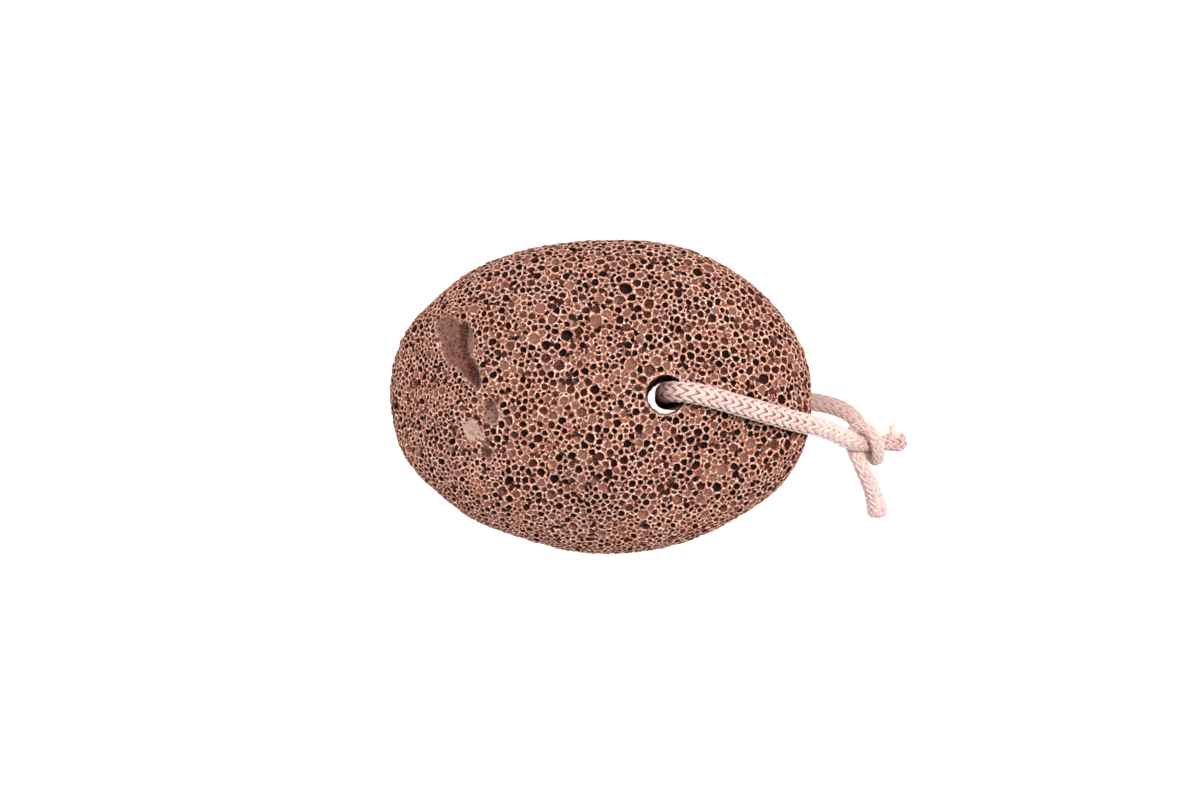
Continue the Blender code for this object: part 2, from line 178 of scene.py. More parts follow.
# Where they are coarser: underneath, from the first height down to the second
COARSER_FROM = 22.0
COARSER_FULL = 8.0
BELOW_COARSER = 0.60
GRAIN_DRIFT = 0.07
GRAIN_WAVES = (((0.31, 0.13, 0.22), 0.6), ((-0.17, 0.36, 0.12), 2.4), ((0.52, -0.47, 0.30), 4.4))

# Pore shapes as (least radius, sides, rings below the rim as (share of depth, share of width))
PORE_SHAPES = (
    (1.20, 12, ((0.35, 1.00), (0.78, 0.76))),
    (0.80, 9, ((0.50, 0.94),)),
    (0.56, 7, ((0.55, 0.86),)),
    (0.00, 6, ()),
)
# Plainer ones on the underside, below this height
UNDER_SHAPES = (
    (1.20, 9, ((0.50, 0.92),)),
    (0.00, 6, ()),
)
UNDER_BELOW = 17.0

# Pore depths as (share of pores, least and greatest depth per radius, least and greatest painted shade):
# deeper pores get darker painted shade
DEPTHS = (
    (0.38, 1.40, 2.00, 0.80, 1.00),
    (0.36, 0.90, 1.30, 0.40, 0.70),
    (0.26, 0.45, 0.80, 0.05, 0.35),
)
# Roundness of their rims, and half the thickness of the walls between them
ROUNDNESS = 13.0
LEAST_REACH = 0.25
WALL = 0.07
WALL_SPREAD = 0.07
RIM_JITTER = 0.13
RIM_SINK = 0.05
RIM_DEPTH = 0.30
CREST = 0.21
LEAN = 0.22
# The widest pores get less painted shade, by this much for each millimetre of radius beyond the first value
WIDE_FROM = 0.95
WIDE_MOST = 0.5
WIDE_PALER = 0.5

# Corners where the walls are worn down: their share, how low they get, and their marks, which give them a
# pore floor's painted shade
WORN_SHARE = 0.10
WORN_DEPTH = 0.40
WORN_MARK = 0.95
WORN_PAINTED_SHADE = 0.9
SHARP_DEGREES = 50.0

# ---- Cord, in metres: the route from its short end to its long one, with a half knot on it
CORD_DIAMETER = 0.005
CORD_ROUTE = (
    (0.0755, -0.0116, 0.0045), (0.0733, -0.0115, 0.0049), (0.0711, -0.0116, 0.0058),
    (0.0686, -0.0119, 0.0074), (0.0663, -0.0121, 0.0085), (0.0641, -0.0119, 0.0102),
    (0.0620, -0.0114, 0.0123), (0.0599, -0.0107, 0.0148), (0.0576, -0.0097, 0.0179),
    (0.0553, -0.0088, 0.0217), (0.0528, -0.0080, 0.0264), (0.0500, -0.0072, 0.0316),
    (0.0462, -0.0064, 0.0355), (0.0410, -0.0050, 0.0387), (0.0348, -0.0033, 0.0411),
    (0.0285, -0.0015, 0.0430), (0.0235, -0.0001, 0.0444), (0.0193, 0.0006, 0.0445),
    (0.0162, 0.0007, 0.0422), (0.0151, 0.0005, 0.0380), (0.0151, 0.0002, 0.0310),
    (0.0153, -0.0004, 0.0230), (0.0155, -0.0008, 0.0150), (0.0158, -0.0011, 0.0096),
    (0.0170, -0.0013, 0.0056), (0.0194, -0.0015, 0.0032), (0.0226, -0.0016, 0.0026),
    (0.0280, -0.0018, 0.0026), (0.0350, -0.0016, 0.0026), (0.0430, -0.0013, 0.0026),
    (0.0490, -0.0013, 0.0026), (0.0532, -0.0017, 0.0028), (0.0559, -0.0022, 0.0033),
    (0.0588, -0.0031, 0.0039), (0.0613, -0.0044, 0.0046), (0.0633, -0.0063, 0.0050),
    (0.0647, -0.0086, 0.0049), (0.0654, -0.0107, 0.0048), (0.0660, -0.0129, 0.0048),
    (0.0669, -0.0149, 0.0053), (0.0677, -0.0158, 0.0075), (0.0680, -0.0147, 0.0104),
    (0.0674, -0.0121, 0.0124), (0.0663, -0.0096, 0.0128), (0.0646, -0.0080, 0.0117),
    (0.0627, -0.0081, 0.0095), (0.0619, -0.0103, 0.0075), (0.0622, -0.0129, 0.0068),
    (0.0634, -0.0157, 0.0078), (0.0646, -0.0184, 0.0078), (0.0663, -0.0214, 0.0062),
    (0.0677, -0.0243, 0.0041), (0.0686, -0.0274, 0.0029), (0.0687, -0.0302, 0.0026),
)

# Cord: its radius where the knot squeezes it, as (run from the short end, radius)
CORD_SQUEEZE = (
    (0.0000, 0.00235), (0.0022, 0.00230), (0.0047, 0.00210), (0.0075, 0.00175),
    (0.0102, 0.00170), (0.0130, 0.00190), (0.0160, 0.00225), (0.0192, 0.00245),
    (0.0240, 0.00250), (0.1440, 0.00250), (0.1587, 0.00235), (0.1615, 0.00225),
    (0.1642, 0.00210), (0.1670, 0.00180), (0.1692, 0.00170), (0.1885, 0.00170),
    (0.1915, 0.00175), (0.1945, 0.00185), (0.1972, 0.00190), (0.2005, 0.00200),
    (0.2035, 0.00210), (0.2072, 0.00225), (0.2112, 0.00240), (0.2146, 0.00250),
)

# Painted shade on the cord, as (run, share), most of it inside the hole and where it runs under the stone
CORD_PAINTED_SHADE = (
    (0.0000, 0.20), (0.0150, 0.12), (0.0250, 0.02), (0.0400, 0.02), (0.0500, 0.06), (0.0740, 0.06),
    (0.0760, 0.25), (0.0785, 0.85), (0.0800, 1.00), (0.1450, 0.70), (0.1600, 0.42), (0.1720, 0.15),
    (0.1900, 0.05), (0.2175, 0.06),
)

# How far the stitches are pulled apart, as (run, share), most of all on top of the stone; it also sets how
# strong the painted shade between the stitches is
CORD_OPEN = (
    (0.0000, 0.60), (0.0080, 0.50), (0.0160, 0.10), (0.0380, 0.10), (0.0480, 0.90), (0.0800, 0.90),
    (0.0900, 0.10), (0.2175, 0.05),
)

# Braid of two sets of yarns that wind opposite ways, every one over two and under two others
YARNS_EACH_WAY = 10
LAY = 0.0205
YARN_WIDTH = 0.00102
YARN_THICKNESS = 0.00066
YARN_MIDDLE = 0.00186
YARN_WAVE = 0.00028
# Share of that rise and fall that is left where the braid is drawn tight
CLOSED_WAVE = 0.5
WAVE_SHARPNESS = 1.5
# Section of a yarn of two strands side by side, as shares of its half width and thickness
YARN_SECTION = (
    (0.0, -0.9), (0.75, -0.7), (1.0, 0.0), (0.55, 1.0),
    (0.0, 0.66), (-0.55, 1.0), (-1.0, 0.0), (-0.75, -0.7),
)
BRAID_STEP = 0.00044
YARN_DRIFT = 0.10
YARN_SPREAD = 0.14
# A yarn is narrower by this share where it rides on top
RISEN_NARROWER = 0.08
DRIFT_LENGTHS = (0.0031, 0.0053, 0.0089)
# Where the stitches are drawn longer by the pull on the cord, as (run, stretch)
LAY_STRETCH = ((0.0140, 1.0), (0.0190, 1.8), (0.0380, 1.8), (0.0470, 1.0))
CORE_RADIUS = 0.00150
CORE_SIDES = 10
STRAND_SIDES = 5

# Cut ends: they close in round, the yarns spread a little, and fibres and core yarns stand out
FRAY_LENGTH = 0.0080
FRAY_SPREAD = 0.00060
# A yarn takes at least this share of the spread, and is thicker by this share at its end
FRAY_LEAST = 0.4
FRAY_SWELL = 0.25
END_ROUNDING = 0.0019
MOST_ROUNDED = 0.97
# Share of its width that a yarn would keep where the end closes to nothing
END_WIDTH = 0.35
FRAY_TRIM = 0.0007
FIBRES = 60
FIBRE_RADIUS = 0.00005
FIBRE_REACH = 0.0006
FIBRE_SPREAD = 0.9
FIBRE_ROOT = 0.001
FIBRE_BEND = 0.00022
CUT_YARNS = 7
CUT_YARN_RADIUS = 0.00032
CUT_SPREAD = 0.00065
CUT_DEPTH = 0.0020
# Least and most by which a core yarn stops short of the cut end
CUT_SHORT = (0.0001, 0.0006)
LOOSE_RADIUS = 0.4 * YARN_WIDTH
# Yarns that have come loose at the short end, each through four points
LOOSE_YARNS = (
    ((0.0716, -0.0104, 0.0064), (0.0720, -0.0092, 0.0074),
     (0.0722, -0.0080, 0.0074), (0.0719, -0.0071, 0.0068)),
    ((0.0722, -0.0106, 0.0064), (0.0726, -0.0093, 0.0073),
     (0.0727, -0.0081, 0.0072), (0.0726, -0.0072, 0.0066)),
    ((0.0727, -0.0106, 0.0062), (0.0732, -0.0095, 0.0070),
     (0.0733, -0.0085, 0.0069), (0.0731, -0.0077, 0.0063)),
    ((0.0713, -0.0102, 0.0064), (0.0713, -0.0091, 0.0073),
     (0.0714, -0.0083, 0.0073), (0.0711, -0.0075, 0.0067)),
    ((0.0719, -0.0104, 0.0066), (0.0718, -0.0092, 0.0077),
     (0.0717, -0.0082, 0.0078), (0.0716, -0.0074, 0.0072)),
)

# ---- Grain of the materials, in waves or cells to the metre, and the height of their relief
GRIT_SCALE = 2000.0
PATCH_SCALE = 90.0
STAIN_SCALE = 1700.0
PINHOLE_SCALE = 1450.0
FINE_PIT_SCALE = 950.0
MOTTLE_SCALE = 900.0
BLUSH_SCALE = 240.0
CORE_SCALE = 2500.0
WALL_RELIEF = 0.00018
FIBRE_RELIEF = 0.00006
CORE_RELIEF = 0.0001

# ---- Studio, in metres
CAMERA_PLACE = (-0.00012, -0.00119, 0.480)
CAMERA_LENS = 57.6
FLOOR_SIZE = 4.0
KEY_PLACE = (0.19, 0.12, 0.65)
KEY_SIZE = 0.22
SIDE_PLACE = (-0.48, 0.02, 0.06)
SIDE_SIZE = 0.10
LIGHT_AIM = (0.0, 0.0, 0.02)
WHITE = (1.0, 1.0, 1.0)


# ------------------------------------------------------------------ vectors

def unit(vectors):
    """The same vectors at length one."""
    return vectors / np.linalg.norm(vectors, axis=-1, keepdims=True)


def tangents(normal):
    """Two unit directions square to a normal and to each other, for one or many normals."""
    steep = np.abs(normal[..., 2:]) > 0.9
    side = unit(np.cross(normal, np.where(steep, (1.0, 0.0, 0.0), (0.0, 0.0, 1.0))))
    return side, np.cross(normal, side)


def ease(value, start, end):
    """0 before start and 1 after end, smooth between them."""
    t = np.clip((value - start) / (end - start), 0.0, 1.0)
    return t * t * (3.0 - 2.0 * t)


def waves(point, table):
    """The sum at each point of waves given as (heading, phase)."""
    height = np.zeros(len(point))
    for heading, phase in table:
        height += np.sin(point @ np.array(heading) + phase)
    return height


# ------------------------------------------------------------------ stone surface

def outline_radius(angle):
    """Outline radius at each angle, on a closed Catmull-Rom curve through the radii."""
    radii = np.array(OUTLINE_RADII)
    count = len(radii)
    turn = (angle / (2.0 * math.pi)) % 1.0 * count
    index = np.floor(turn).astype(int)
    t = turn - index
    before = radii[(index - 1) % count]
    here = radii[index % count]
    after = radii[(index + 1) % count]
    beyond = radii[(index + 2) % count]
    return here + 0.5 * t * (
        after - before
        + t * (2 * before - 5 * here + 4 * after - beyond + t * (3 * (here - after) + beyond - before)))


def in_hollow(point, hollow):
    """How far inside a hollow's outline each point is: 1 in its middle and 0 on the outline."""
    x, y, half_length, half_width, degrees = hollow[:5]
    turn = math.radians(degrees)
    along = (point[:, 0] - x) * math.cos(turn) + (point[:, 1] - y) * math.sin(turn)
    across = (point[:, 1] - y) * math.cos(turn) - (point[:, 0] - x) * math.sin(turn)
    return 1.0 - (along / half_length) ** 2 - (across / half_width) ** 2


def stone_surface(direction):
    """The stone without its pores: one point for each unit direction in an (n, 3) array."""
    flat = np.hypot(direction[:, 0], direction[:, 1])
    rise = direction[:, 2]
    angle = np.arctan2(direction[:, 1], direction[:, 0])
    above = rise > 0.0
    radius = outline_radius(angle) * flat ** np.where(above, TOP_FULLNESS, UNDER_FULLNESS)
    belly = np.where(above, 0.0, BELLY_SHIFT * rise ** 2)
    point = np.stack([
        radius * np.cos(angle) - belly,
        radius * np.sin(angle),
        GIRTH_HEIGHT + np.where(above, TOP_RISE, UNDER_DEPTH) * rise], axis=1)

    swell = np.zeros(len(point))
    for height, wavelength, heading, phase in LUMPS:
        swell += height * np.sin(point @ np.array(heading) * 2.0 * math.pi / wavelength + phase)
    point = point + direction * (swell * (GIRTH_SWELL + (1.0 - GIRTH_SWELL) * np.abs(rise)))[:, None]

    x, y, spread, height = HEEL
    heel = height * np.exp(-((point[:, 0] - x) ** 2 + (point[:, 1] - y) ** 2) / (2.0 * spread ** 2))
    point[:, 2] -= np.where(above, 0.0, heel)

    normal = unit(np.array(SHOULDER_NORMAL))
    over = (point @ normal - SHOULDER_REACH) / SHOULDER_SOFTNESS
    point = point - normal * (SHOULDER_SOFTNESS * np.logaddexp(0.0, over))[:, None]

    dent = np.zeros(len(point))
    for hollow in HOLLOWS:
        inside = np.clip(in_hollow(point, hollow), 0.0, 1.0)
        dent = np.maximum(dent, hollow[5] * inside ** HOLLOW_BOWL)
    point[:, 2] -= np.where(above, dent, 0.0)

    point[:, 2] = np.maximum(point[:, 2], 0.0)
    return point


def hollow_marks(point):
    """For each point, how fully it lies in a smooth hollow, and how pale the hollow is there, with painted
    shade towards its middle and along its streaks.
    """
    mark = np.zeros(len(point))
    hollow_tone_and_shade = np.ones(len(point))
    ragged = HOLLOW_RAGGED * waves(point, RAGGED_WAVES)
    for hollow in HOLLOWS:
        inside = np.where(point[:, 2] > GIRTH_HEIGHT, in_hollow(point, hollow) + ragged, 0.0)
        mark = np.maximum(mark, ease(inside, 0.0, HOLLOW_EDGE))
        shade = hollow[6] + (1.0 - hollow[6]) * (1.0 - ease(inside, *HOLLOW_SHADE))
        hollow_tone_and_shade = np.minimum(hollow_tone_and_shade, shade)
    for streak in SHADE_STREAKS:
        shade = streak[5] + (1.0 - streak[5]) * (1.0 - ease(in_hollow(point, streak), *STREAK_SHADE))
        hollow_tone_and_shade = np.minimum(hollow_tone_and_shade, np.where(mark > 0.0, shade, 1.0))
    return mark, hollow_tone_and_shade


def direction_at(x, y, side):
    """The direction whose point on the top (side 1) or underside (side -1) is at x, y."""
    half = np.array([HALF_LENGTH, HALF_WIDTH])
    guess = np.array([x, y]) / half
    for _ in range(FIT_PASSES):
        flat = min(FIT_EDGE, float(np.linalg.norm(guess)))
        guess = guess / max(1e-9, np.linalg.norm(guess)) * flat
        direction = np.array([[guess[0], guess[1], side * math.sqrt(1.0 - flat * flat)]])
        miss = np.array([x, y]) - stone_surface(direction)[0, :2]
        guess = guess + 0.5 * miss / half
    return direction[0]


# ------------------------------------------------------------------ where the pores lie

def grain(point):
    """Share of their full size that pores have at each point of the surface."""
    size = np.ones(len(point))
    for heading, start, full, share in FINER:
        size = size * (1.0 - share * ease(point @ np.array(heading), start, full))
    below = ease(-point[:, 2], -COARSER_FROM, -COARSER_FULL)
    size = size * (1.0 + GRAIN_DRIFT * waves(point, GRAIN_WAVES)) * (1.0 + BELOW_COARSER * below)
    smooth, _ = hollow_marks(point)
    return np.where(smooth > 0.0, HOLLOW_GRAIN, size)


def scatter_pores(placed):
    """Fills the surface round the placed cells with pores, as directions, points and radii."""
    draw = np.random.default_rng(SEED)
    spots = unit(draw.normal(size=(SPOTS, 3)) * (1.0, 1.0, POLE_BIAS))
    where = stone_surface(spots)
    size = grain(where)
    widest = float(size.max())
    smooth, _ = hollow_marks(where)
    tree = KDTree(SPOTS)
    for index, spot in enumerate(where):
        tree.insert(spot, index)
    tree.balance()
    room = [math.inf] * SPOTS
    directions = [d for d, _ in placed]
    radii = [r for _, r in placed]
    points = [stone_surface(d[None])[0] for d in directions]
    reach = 2.0 * PORE_ROUNDS[0][1] * widest
    for point, radius in zip(points, radii):
        for _, other, distance in tree.find_range(point, radius + reach):
            room[other] = min(room[other], distance - radius)
    for least, greatest, most in PORE_ROUNDS:
        count = 0
        share = draw.uniform(least, greatest, SPOTS)
        for index in draw.permutation(SPOTS):
            scale = size[index]
            if room[index] < max(least * scale, LEAST_PORE):
                continue
            if smooth[index] > 0.0 and greatest > WIDEST_IN_HOLLOW:
                continue
            radius = min(room[index], max(share[index] * scale, LEAST_PORE))
            own = (1.0 - OVERLAP) * radius
            for _, other, distance in tree.find_range(where[index], radius + greatest * widest):
                if distance - own < room[other]:
                    room[other] = distance - own
            directions.append(spots[index])
            points.append(where[index])
            radii.append(radius)
            count += 1
            if count >= most:
                break
    return np.array(directions), np.array(points), np.array(radii)


def hull_triangles(directions):
    """Triangles that join the pores all round, from the hull of their directions."""
    shell = bmesh.new()
    vertices = [shell.verts.new(d) for d in directions]
    shell.verts.index_update()
    bmesh.ops.convex_hull(shell, input=vertices, use_existing_faces=False)
    triangles = []
    for face in shell.faces:
        a, b, c = (v.index for v in face.verts)
        facing = np.cross(directions[b] - directions[a], directions[c] - directions[a])
        if facing @ directions[a] < 0.0:
            b, c = c, b
        triangles.append((a, b, c))
    shell.free()
    return triangles


def misplaced(quads, points, radii):
    """Which walls between pores a and b, seen square on, should part pores c and d instead."""
    a, b, c, d = (points[i] for i in quads.T)
    weight = radii[quads.T] ** 2
    along = unit(b - a)
    across = unit(np.cross(np.cross(b - a, c - d), along))
    (bx, by), (cx, cy), (dx, dy) = (
        (((p - a) * along).sum(axis=1), ((p - a) * across).sum(axis=1)) for p in (b, c, d))
    convex = (dx * cy - dy * cx > 1e-6) & ((bx - dx) * (cy - dy) - (by - dy) * (cx - dx) > 1e-6)
    (p, q, r), (s, t, u), (v, w, x) = (
        (px - dx, py - dy, (px - dx) ** 2 + (py - dy) ** 2 - weight[i] + weight[3])
        for i, px, py in ((0, 0.0, 0.0), (1, bx, by), (2, cx, cy)))
    return convex & (p * (t * x - u * w) - q * (s * x - u * v) + r * (s * w - t * v) > 1e-6)


def turn_edges(triangles, points, radii):
    """Flips edges until each wall lies between the two pores that it parts."""
    third = {}
    for a, b, c in triangles:
        third[a, b], third[b, c], third[c, a] = c, a, b
    waiting = {edge for edge in third if edge[0] < edge[1]}
    for _ in range(TURN_PASSES):
        quads = np.array([(a, b, third[a, b], third[b, a]) for a, b in waiting if (a, b) in third])
        waiting = set()
        for a, b, c, d in quads[misplaced(quads, points, radii)].tolist():
            if third.get((a, b)) != c or third.get((b, a)) != d:
                continue
            if (c, d) in third or (d, c) in third:
                continue
            del third[a, b], third[b, a]
            third[a, d], third[d, c], third[c, a] = c, a, d
            third[d, b], third[b, c], third[c, d] = c, d, b
            waiting |= {(a, d), (c, a), (d, b), (b, c)}
        if not waiting:
            break
    return third


def wall_corners(third, directions, points, radii):
    """Where three pores' walls meet: a direction for each, and each pore's ring of them."""
    corner_index = {}
    rings = {}
    for start, following in list(third):
        if start in rings:
            continue
        ring = []
        spoke = following
        while True:
            beyond = third[start, spoke]
            key = tuple(sorted((start, spoke, beyond)))
            ring.append(corner_index.setdefault(key, len(corner_index)))
            spoke = beyond
            if spoke == following:
                break
        rings[start] = ring
    a, b, c = np.array(list(corner_index)).T
    one, two = points[b] - points[a], points[c] - points[a]
    dot_one, dot_two = (one * one).sum(axis=1), (two * two).sum(axis=1)
    dot_both = (one * two).sum(axis=1)
    pull_one = 0.5 * (dot_one + radii[a] ** 2 - radii[b] ** 2)
    pull_two = 0.5 * (dot_two + radii[a] ** 2 - radii[c] ** 2)
    area = dot_one * dot_two - dot_both ** 2
    s = (pull_one * dot_two - pull_two * dot_both) / area
    t = (pull_two * dot_one - pull_one * dot_both) / area
    share = (1.0 - CORNER_PULL) * np.stack([1.0 - s - t, s, t], axis=1) + CORNER_PULL / 3.0
    share = np.clip(share, -CORNER_PULL, 1.0)
    share = share / share.sum(axis=1, keepdims=True)
    corners = share[:, :1] * directions[a] + share[:, 1:2] * directions[b] + share[:, 2:] * directions[c]
    return unit(corners), rings


# ------------------------------------------------------------------ pore shapes

# Marks of the stone's mesh: depth in a pore, the pore's painted shade, how fully a point lies in a smooth
# hollow, and how pale the hollow is with its painted shade
STONE_MARKS = ("depth", "painted_shade", "smooth", "hollow_tone_and_shade")


class StoneMesh:
    """Vertices, triangles and colour marks of the pored stone as they are added."""

    def __init__(self):
        self.points = []
        self.faces = []
        self.marks = []
        self.count = 0

    def add(self, points, depth, painted_shade):
        """Adds points with their depth in a pore, 0 on the walls' tops, and the pore's painted shade."""
        first = self.count
        self.points.append(points)
        marks = np.empty((len(points), 2))
        marks[:, 0] = depth
        marks[:, 1] = painted_shade
        self.marks.append(marks)
        self.count += len(points)
        return list(range(first, self.count))

    def join(self, outer, inner):
        """Joins two rings of the same number of corners."""
        for k, corner in enumerate(outer):
            n = (k + 1) % len(outer)
            self.faces.append((corner, outer[n], inner[n]))
            self.faces.append((corner, inner[n], inner[k]))

    def fan(self, ring, tip):
        """Closes a ring with triangles to one point."""
        for k, corner in enumerate(ring):
            self.faces.append((corner, ring[(k + 1) % len(ring)], tip))


def join_uneven(outer, outer_angles, inner, inner_angles):
    """Triangles between an outer and an inner ring of unlike counts, both anticlockwise."""
    faces = []
    whole = 2.0 * math.pi
    shift = min(range(len(inner)), key=lambda k: (inner_angles[k] - outer_angles[0]) % whole)
    inner = inner[shift:] + inner[:shift]
    inner_turn = [(a - outer_angles[0]) % whole for a in inner_angles[shift:] + inner_angles[:shift]]
    outer_turn = [(a - outer_angles[0]) % whole for a in outer_angles]
    inner_turn.append(inner_turn[0] + whole)
    outer_turn.append(whole)
    i = j = 0
    while i < len(outer) or j < len(inner):
        if j >= len(inner) or (i < len(outer) and outer_turn[i + 1] <= inner_turn[j + 1]):
            faces.append((outer[i % len(outer)], outer[(i + 1) % len(outer)], inner[j % len(inner)]))
            i += 1
        else:
            faces.append((outer[i % len(outer)], inner[(j + 1) % len(inner)], inner[j % len(inner)]))
            j += 1
    return faces


def cell_frame(around):
    """The middle of a pore's walls, the way out of the stone there, and two ways across."""
    after = np.roll(around, -1, axis=0)
    middle = around.mean(axis=0)
    out = np.cross(around - middle, after - middle).sum(axis=0)
    out = out / math.sqrt(float(out @ out))
    side, other = tangents(out)
    return middle, out, side, other


def rim_radii(flat, turns, wall):
    """Distance from a cell's middle to its rounded rim at each angle."""
    after = np.roll(flat, -1, axis=0)
    edge = after - flat
    length = np.hypot(edge[:, 0], edge[:, 1])
    facing = np.arctan2(-edge[:, 0], edge[:, 1])
    away = (flat[:, 0] * after[:, 1] - flat[:, 1] * after[:, 0]) / length
    away = np.maximum(away - wall, LEAST_REACH * np.abs(away).mean())
    lean = np.clip(np.cos(turns[:, None] - facing[None]), 0.0, 1.0) / away[None]
    return (lean ** ROUNDNESS).sum(axis=1) ** (-1.0 / ROUNDNESS)


def add_pore(shell, ring, around, radius, draw):
    """One pore inside its ring of wall corners: a rim, rings down its wall and a floor."""
    middle, out, side, other = cell_frame(around)
    flat = np.stack([(around - middle) @ side, (around - middle) @ other], axis=1)
    under = middle[2] < UNDER_BELOW and out[2] < 0.0
    shapes = UNDER_SHAPES if under else PORE_SHAPES
    _, sides, levels = next(shape for shape in shapes if radius >= shape[0])
    turns = 2.0 * math.pi * (np.arange(sides) + draw.random()) / sides
    reach = rim_radii(flat, turns, WALL + WALL_SPREAD * draw.random())
    reach = reach * draw.uniform(1.0 - 2.0 * RIM_JITTER, 1.0, sides)
    ways = np.cos(turns)[:, None] * side + np.sin(turns)[:, None] * other
    size = float(reach.mean())

    pick = draw.random()
    for share, least, greatest, pale, darkest in DEPTHS:
        if pick < share:
            break
        pick -= share
    depth = size * draw.uniform(least, greatest)
    # Painted shade of the pore: darker for the deeper classes
    painted_shade = draw.uniform(pale, darkest) - WIDE_PALER * float(np.clip(radius - WIDE_FROM, 0.0, WIDE_MOST))
    heading = draw.uniform(0.0, 2.0 * math.pi)
    drift = LEAN * size * draw.random() * (math.cos(heading) * side + math.sin(heading) * other)

    rim = middle - RIM_SINK * out + reach[:, None] * ways
    rim[:, 2] = np.maximum(rim[:, 2], 0.0)
    outer = shell.add(rim, RIM_DEPTH, painted_shade)
    corner_turns = np.arctan2(flat[:, 1], flat[:, 0]).tolist()
    shell.faces += join_uneven(ring, corner_turns, outer, turns.tolist())
    for down, across in levels:
        points = middle + drift * down - out * depth * down + (reach * across)[:, None] * ways
        inner = shell.add(points, RIM_DEPTH + (1.0 - RIM_DEPTH) * down, painted_shade)
        shell.join(outer, inner)
        outer = inner
    tip = shell.add((middle + drift - out * depth)[None], 1.0, painted_shade)
    shell.fan(outer, tip[0])


def hole_mouth(centre, side, turns):
    """The ring that the hole cuts in the top (side 1) or the underside (side -1)."""
    x = centre[0] + HOLE_RADIUS * np.cos(turns)
    y = centre[1] + HOLE_RADIUS * np.sin(turns)
    z = [stone_surface(direction_at(p, q, side)[None])[0, 2] for p, q in zip(x, y)]
    return np.stack([x, y, z], axis=1)


def add_hole(shell, rings, corner_points, draw):
    """Lines the hole from its top mouth to its foot, with a wall roughened by cut pores and painted shade
    that is darkest near the top.
    """
    turns = 2.0 * math.pi * np.arange(HOLE_SIDES) / HOLE_SIDES
    top = hole_mouth(HOLE_TOP, 1, turns)
    foot = hole_mouth(HOLE_FOOT, -1, turns)
    spokes = np.stack([np.cos(turns), np.sin(turns), np.zeros(HOLE_SIDES)], axis=1)
    walls = []
    for end, mouth, centre, side in (
            (top, TOP_MOUTH, HOLE_TOP, 1),
            (foot, FOOT_MOUTH, HOLE_FOOT, -1)):
        ring = rings[mouth]
        angles = [math.atan2(corner_points[c][1] - centre[1], corner_points[c][0] - centre[0]) for c in ring]
        worn = end + HOLE_LIP * spokes * draw.uniform(LIP_LEAST, 1.0, (HOLE_SIDES, 1))
        lip = shell.add(worn, LIP_DEPTH, LIP_PAINTED_SHADE)
        if side > 0:
            shell.faces += join_uneven(ring, angles, lip, turns.tolist())
        else:
            mirrored = join_uneven(ring[::-1], angles[::-1], lip, turns.tolist())
            shell.faces += [(a, c, b) for a, b, c in mirrored]
        walls.append(lip)
    inner = []
    for k in range(HOLE_RINGS + 1):
        share = k / HOLE_RINGS
        ring = top + (foot - top) * (RING_INSET + (1.0 - 2.0 * RING_INSET) * share)
        ring = ring + HOLE_ROUGHNESS * draw.uniform(-1.0, 1.0, (HOLE_SIDES, 1)) * spokes
        # Painted shade on the hole's wall, darkest near the top mouth, with random darker spots
        shade_level = HOLE_PAINTED_SHADE * (1.0 - share) ** 2 + draw.uniform(0.0, HOLE_SPOTS, HOLE_SIDES)
        inner.append(shell.add(ring, HOLE_DEPTH, shade_level))
    levels = [walls[0]] + inner + [walls[1]]
    for upper, lower in zip(levels, levels[1:]):
        shell.join(upper, lower)


def pored_stone():
    """The whole stone as points, triangles, and the depth and painted shade at each point."""
    draw = np.random.default_rng(SEED + 1)
    mouth = HOLE_RADIUS + HOLE_LIP + HOLE_MARGIN
    placed = [(direction_at(*HOLE_TOP, 1), mouth), (direction_at(*HOLE_FOOT, -1), mouth)]
    directions, points, radii = scatter_pores(placed)
    stray = draw.uniform(-1.0, 1.0, directions.shape) * (STRAY / HALF_LENGTH * radii)[:, None]
    stray[:len(placed)] = 0.0
    directions = unit(directions + stray)
    points = stone_surface(directions)
    third = turn_edges(hull_triangles(directions), points, radii)
    corner_directions, rings = wall_corners(third, directions, points, radii)
    corner_points = stone_surface(corner_directions)
    smooth_corner, _ = hollow_marks(corner_points)
    shell = StoneMesh()
    worn = ease(draw.random(len(corner_points)), 1.0 - WORN_SHARE, 1.0) * (1.0 - smooth_corner)
    crest = CREST * draw.uniform(-1.0, 1.0, len(corner_points)) * (1.0 - smooth_corner)
    raised = corner_points + corner_directions * (crest - WORN_DEPTH * worn)[:, None]
    raised[:, 2] = np.maximum(raised[:, 2], 0.0)
    # Worn corners take the painted shade of a pore floor
    shell.add(raised, WORN_MARK * worn, WORN_PAINTED_SHADE)
    add_hole(shell, rings, corner_points, draw)
    smooth, _ = hollow_marks(points)
    for pore in range(FOOT_MOUTH + 1, len(points)):
        if pore not in rings:
            continue
        ring = rings[pore]
        if smooth[pore] > CLOSED_FROM:
            shell.fan(ring, shell.add(points[pore][None], 0.0, CLOSED_PAINTED_SHADE)[0])
            continue
        add_pore(shell, ring, raised[ring], radii[pore], draw)
    return np.concatenate(shell.points), shell.faces, np.concatenate(shell.marks)


# ------------------------------------------------------------------ materials

def linear(red, green, blue):
    """A colour from its usual 0 to 255 values, as the light that it sends back."""
    return tuple(
        c / 12.92 if c <= 0.04045 else ((c + 0.055) / 1.055) ** 2.4
        for c in (red / 255.0, green / 255.0, blue / 255.0))


# Places of the sockets that a Mix node uses for colours
MIX_INPUTS = (0, 6, 7)
MIX_RESULT = 2


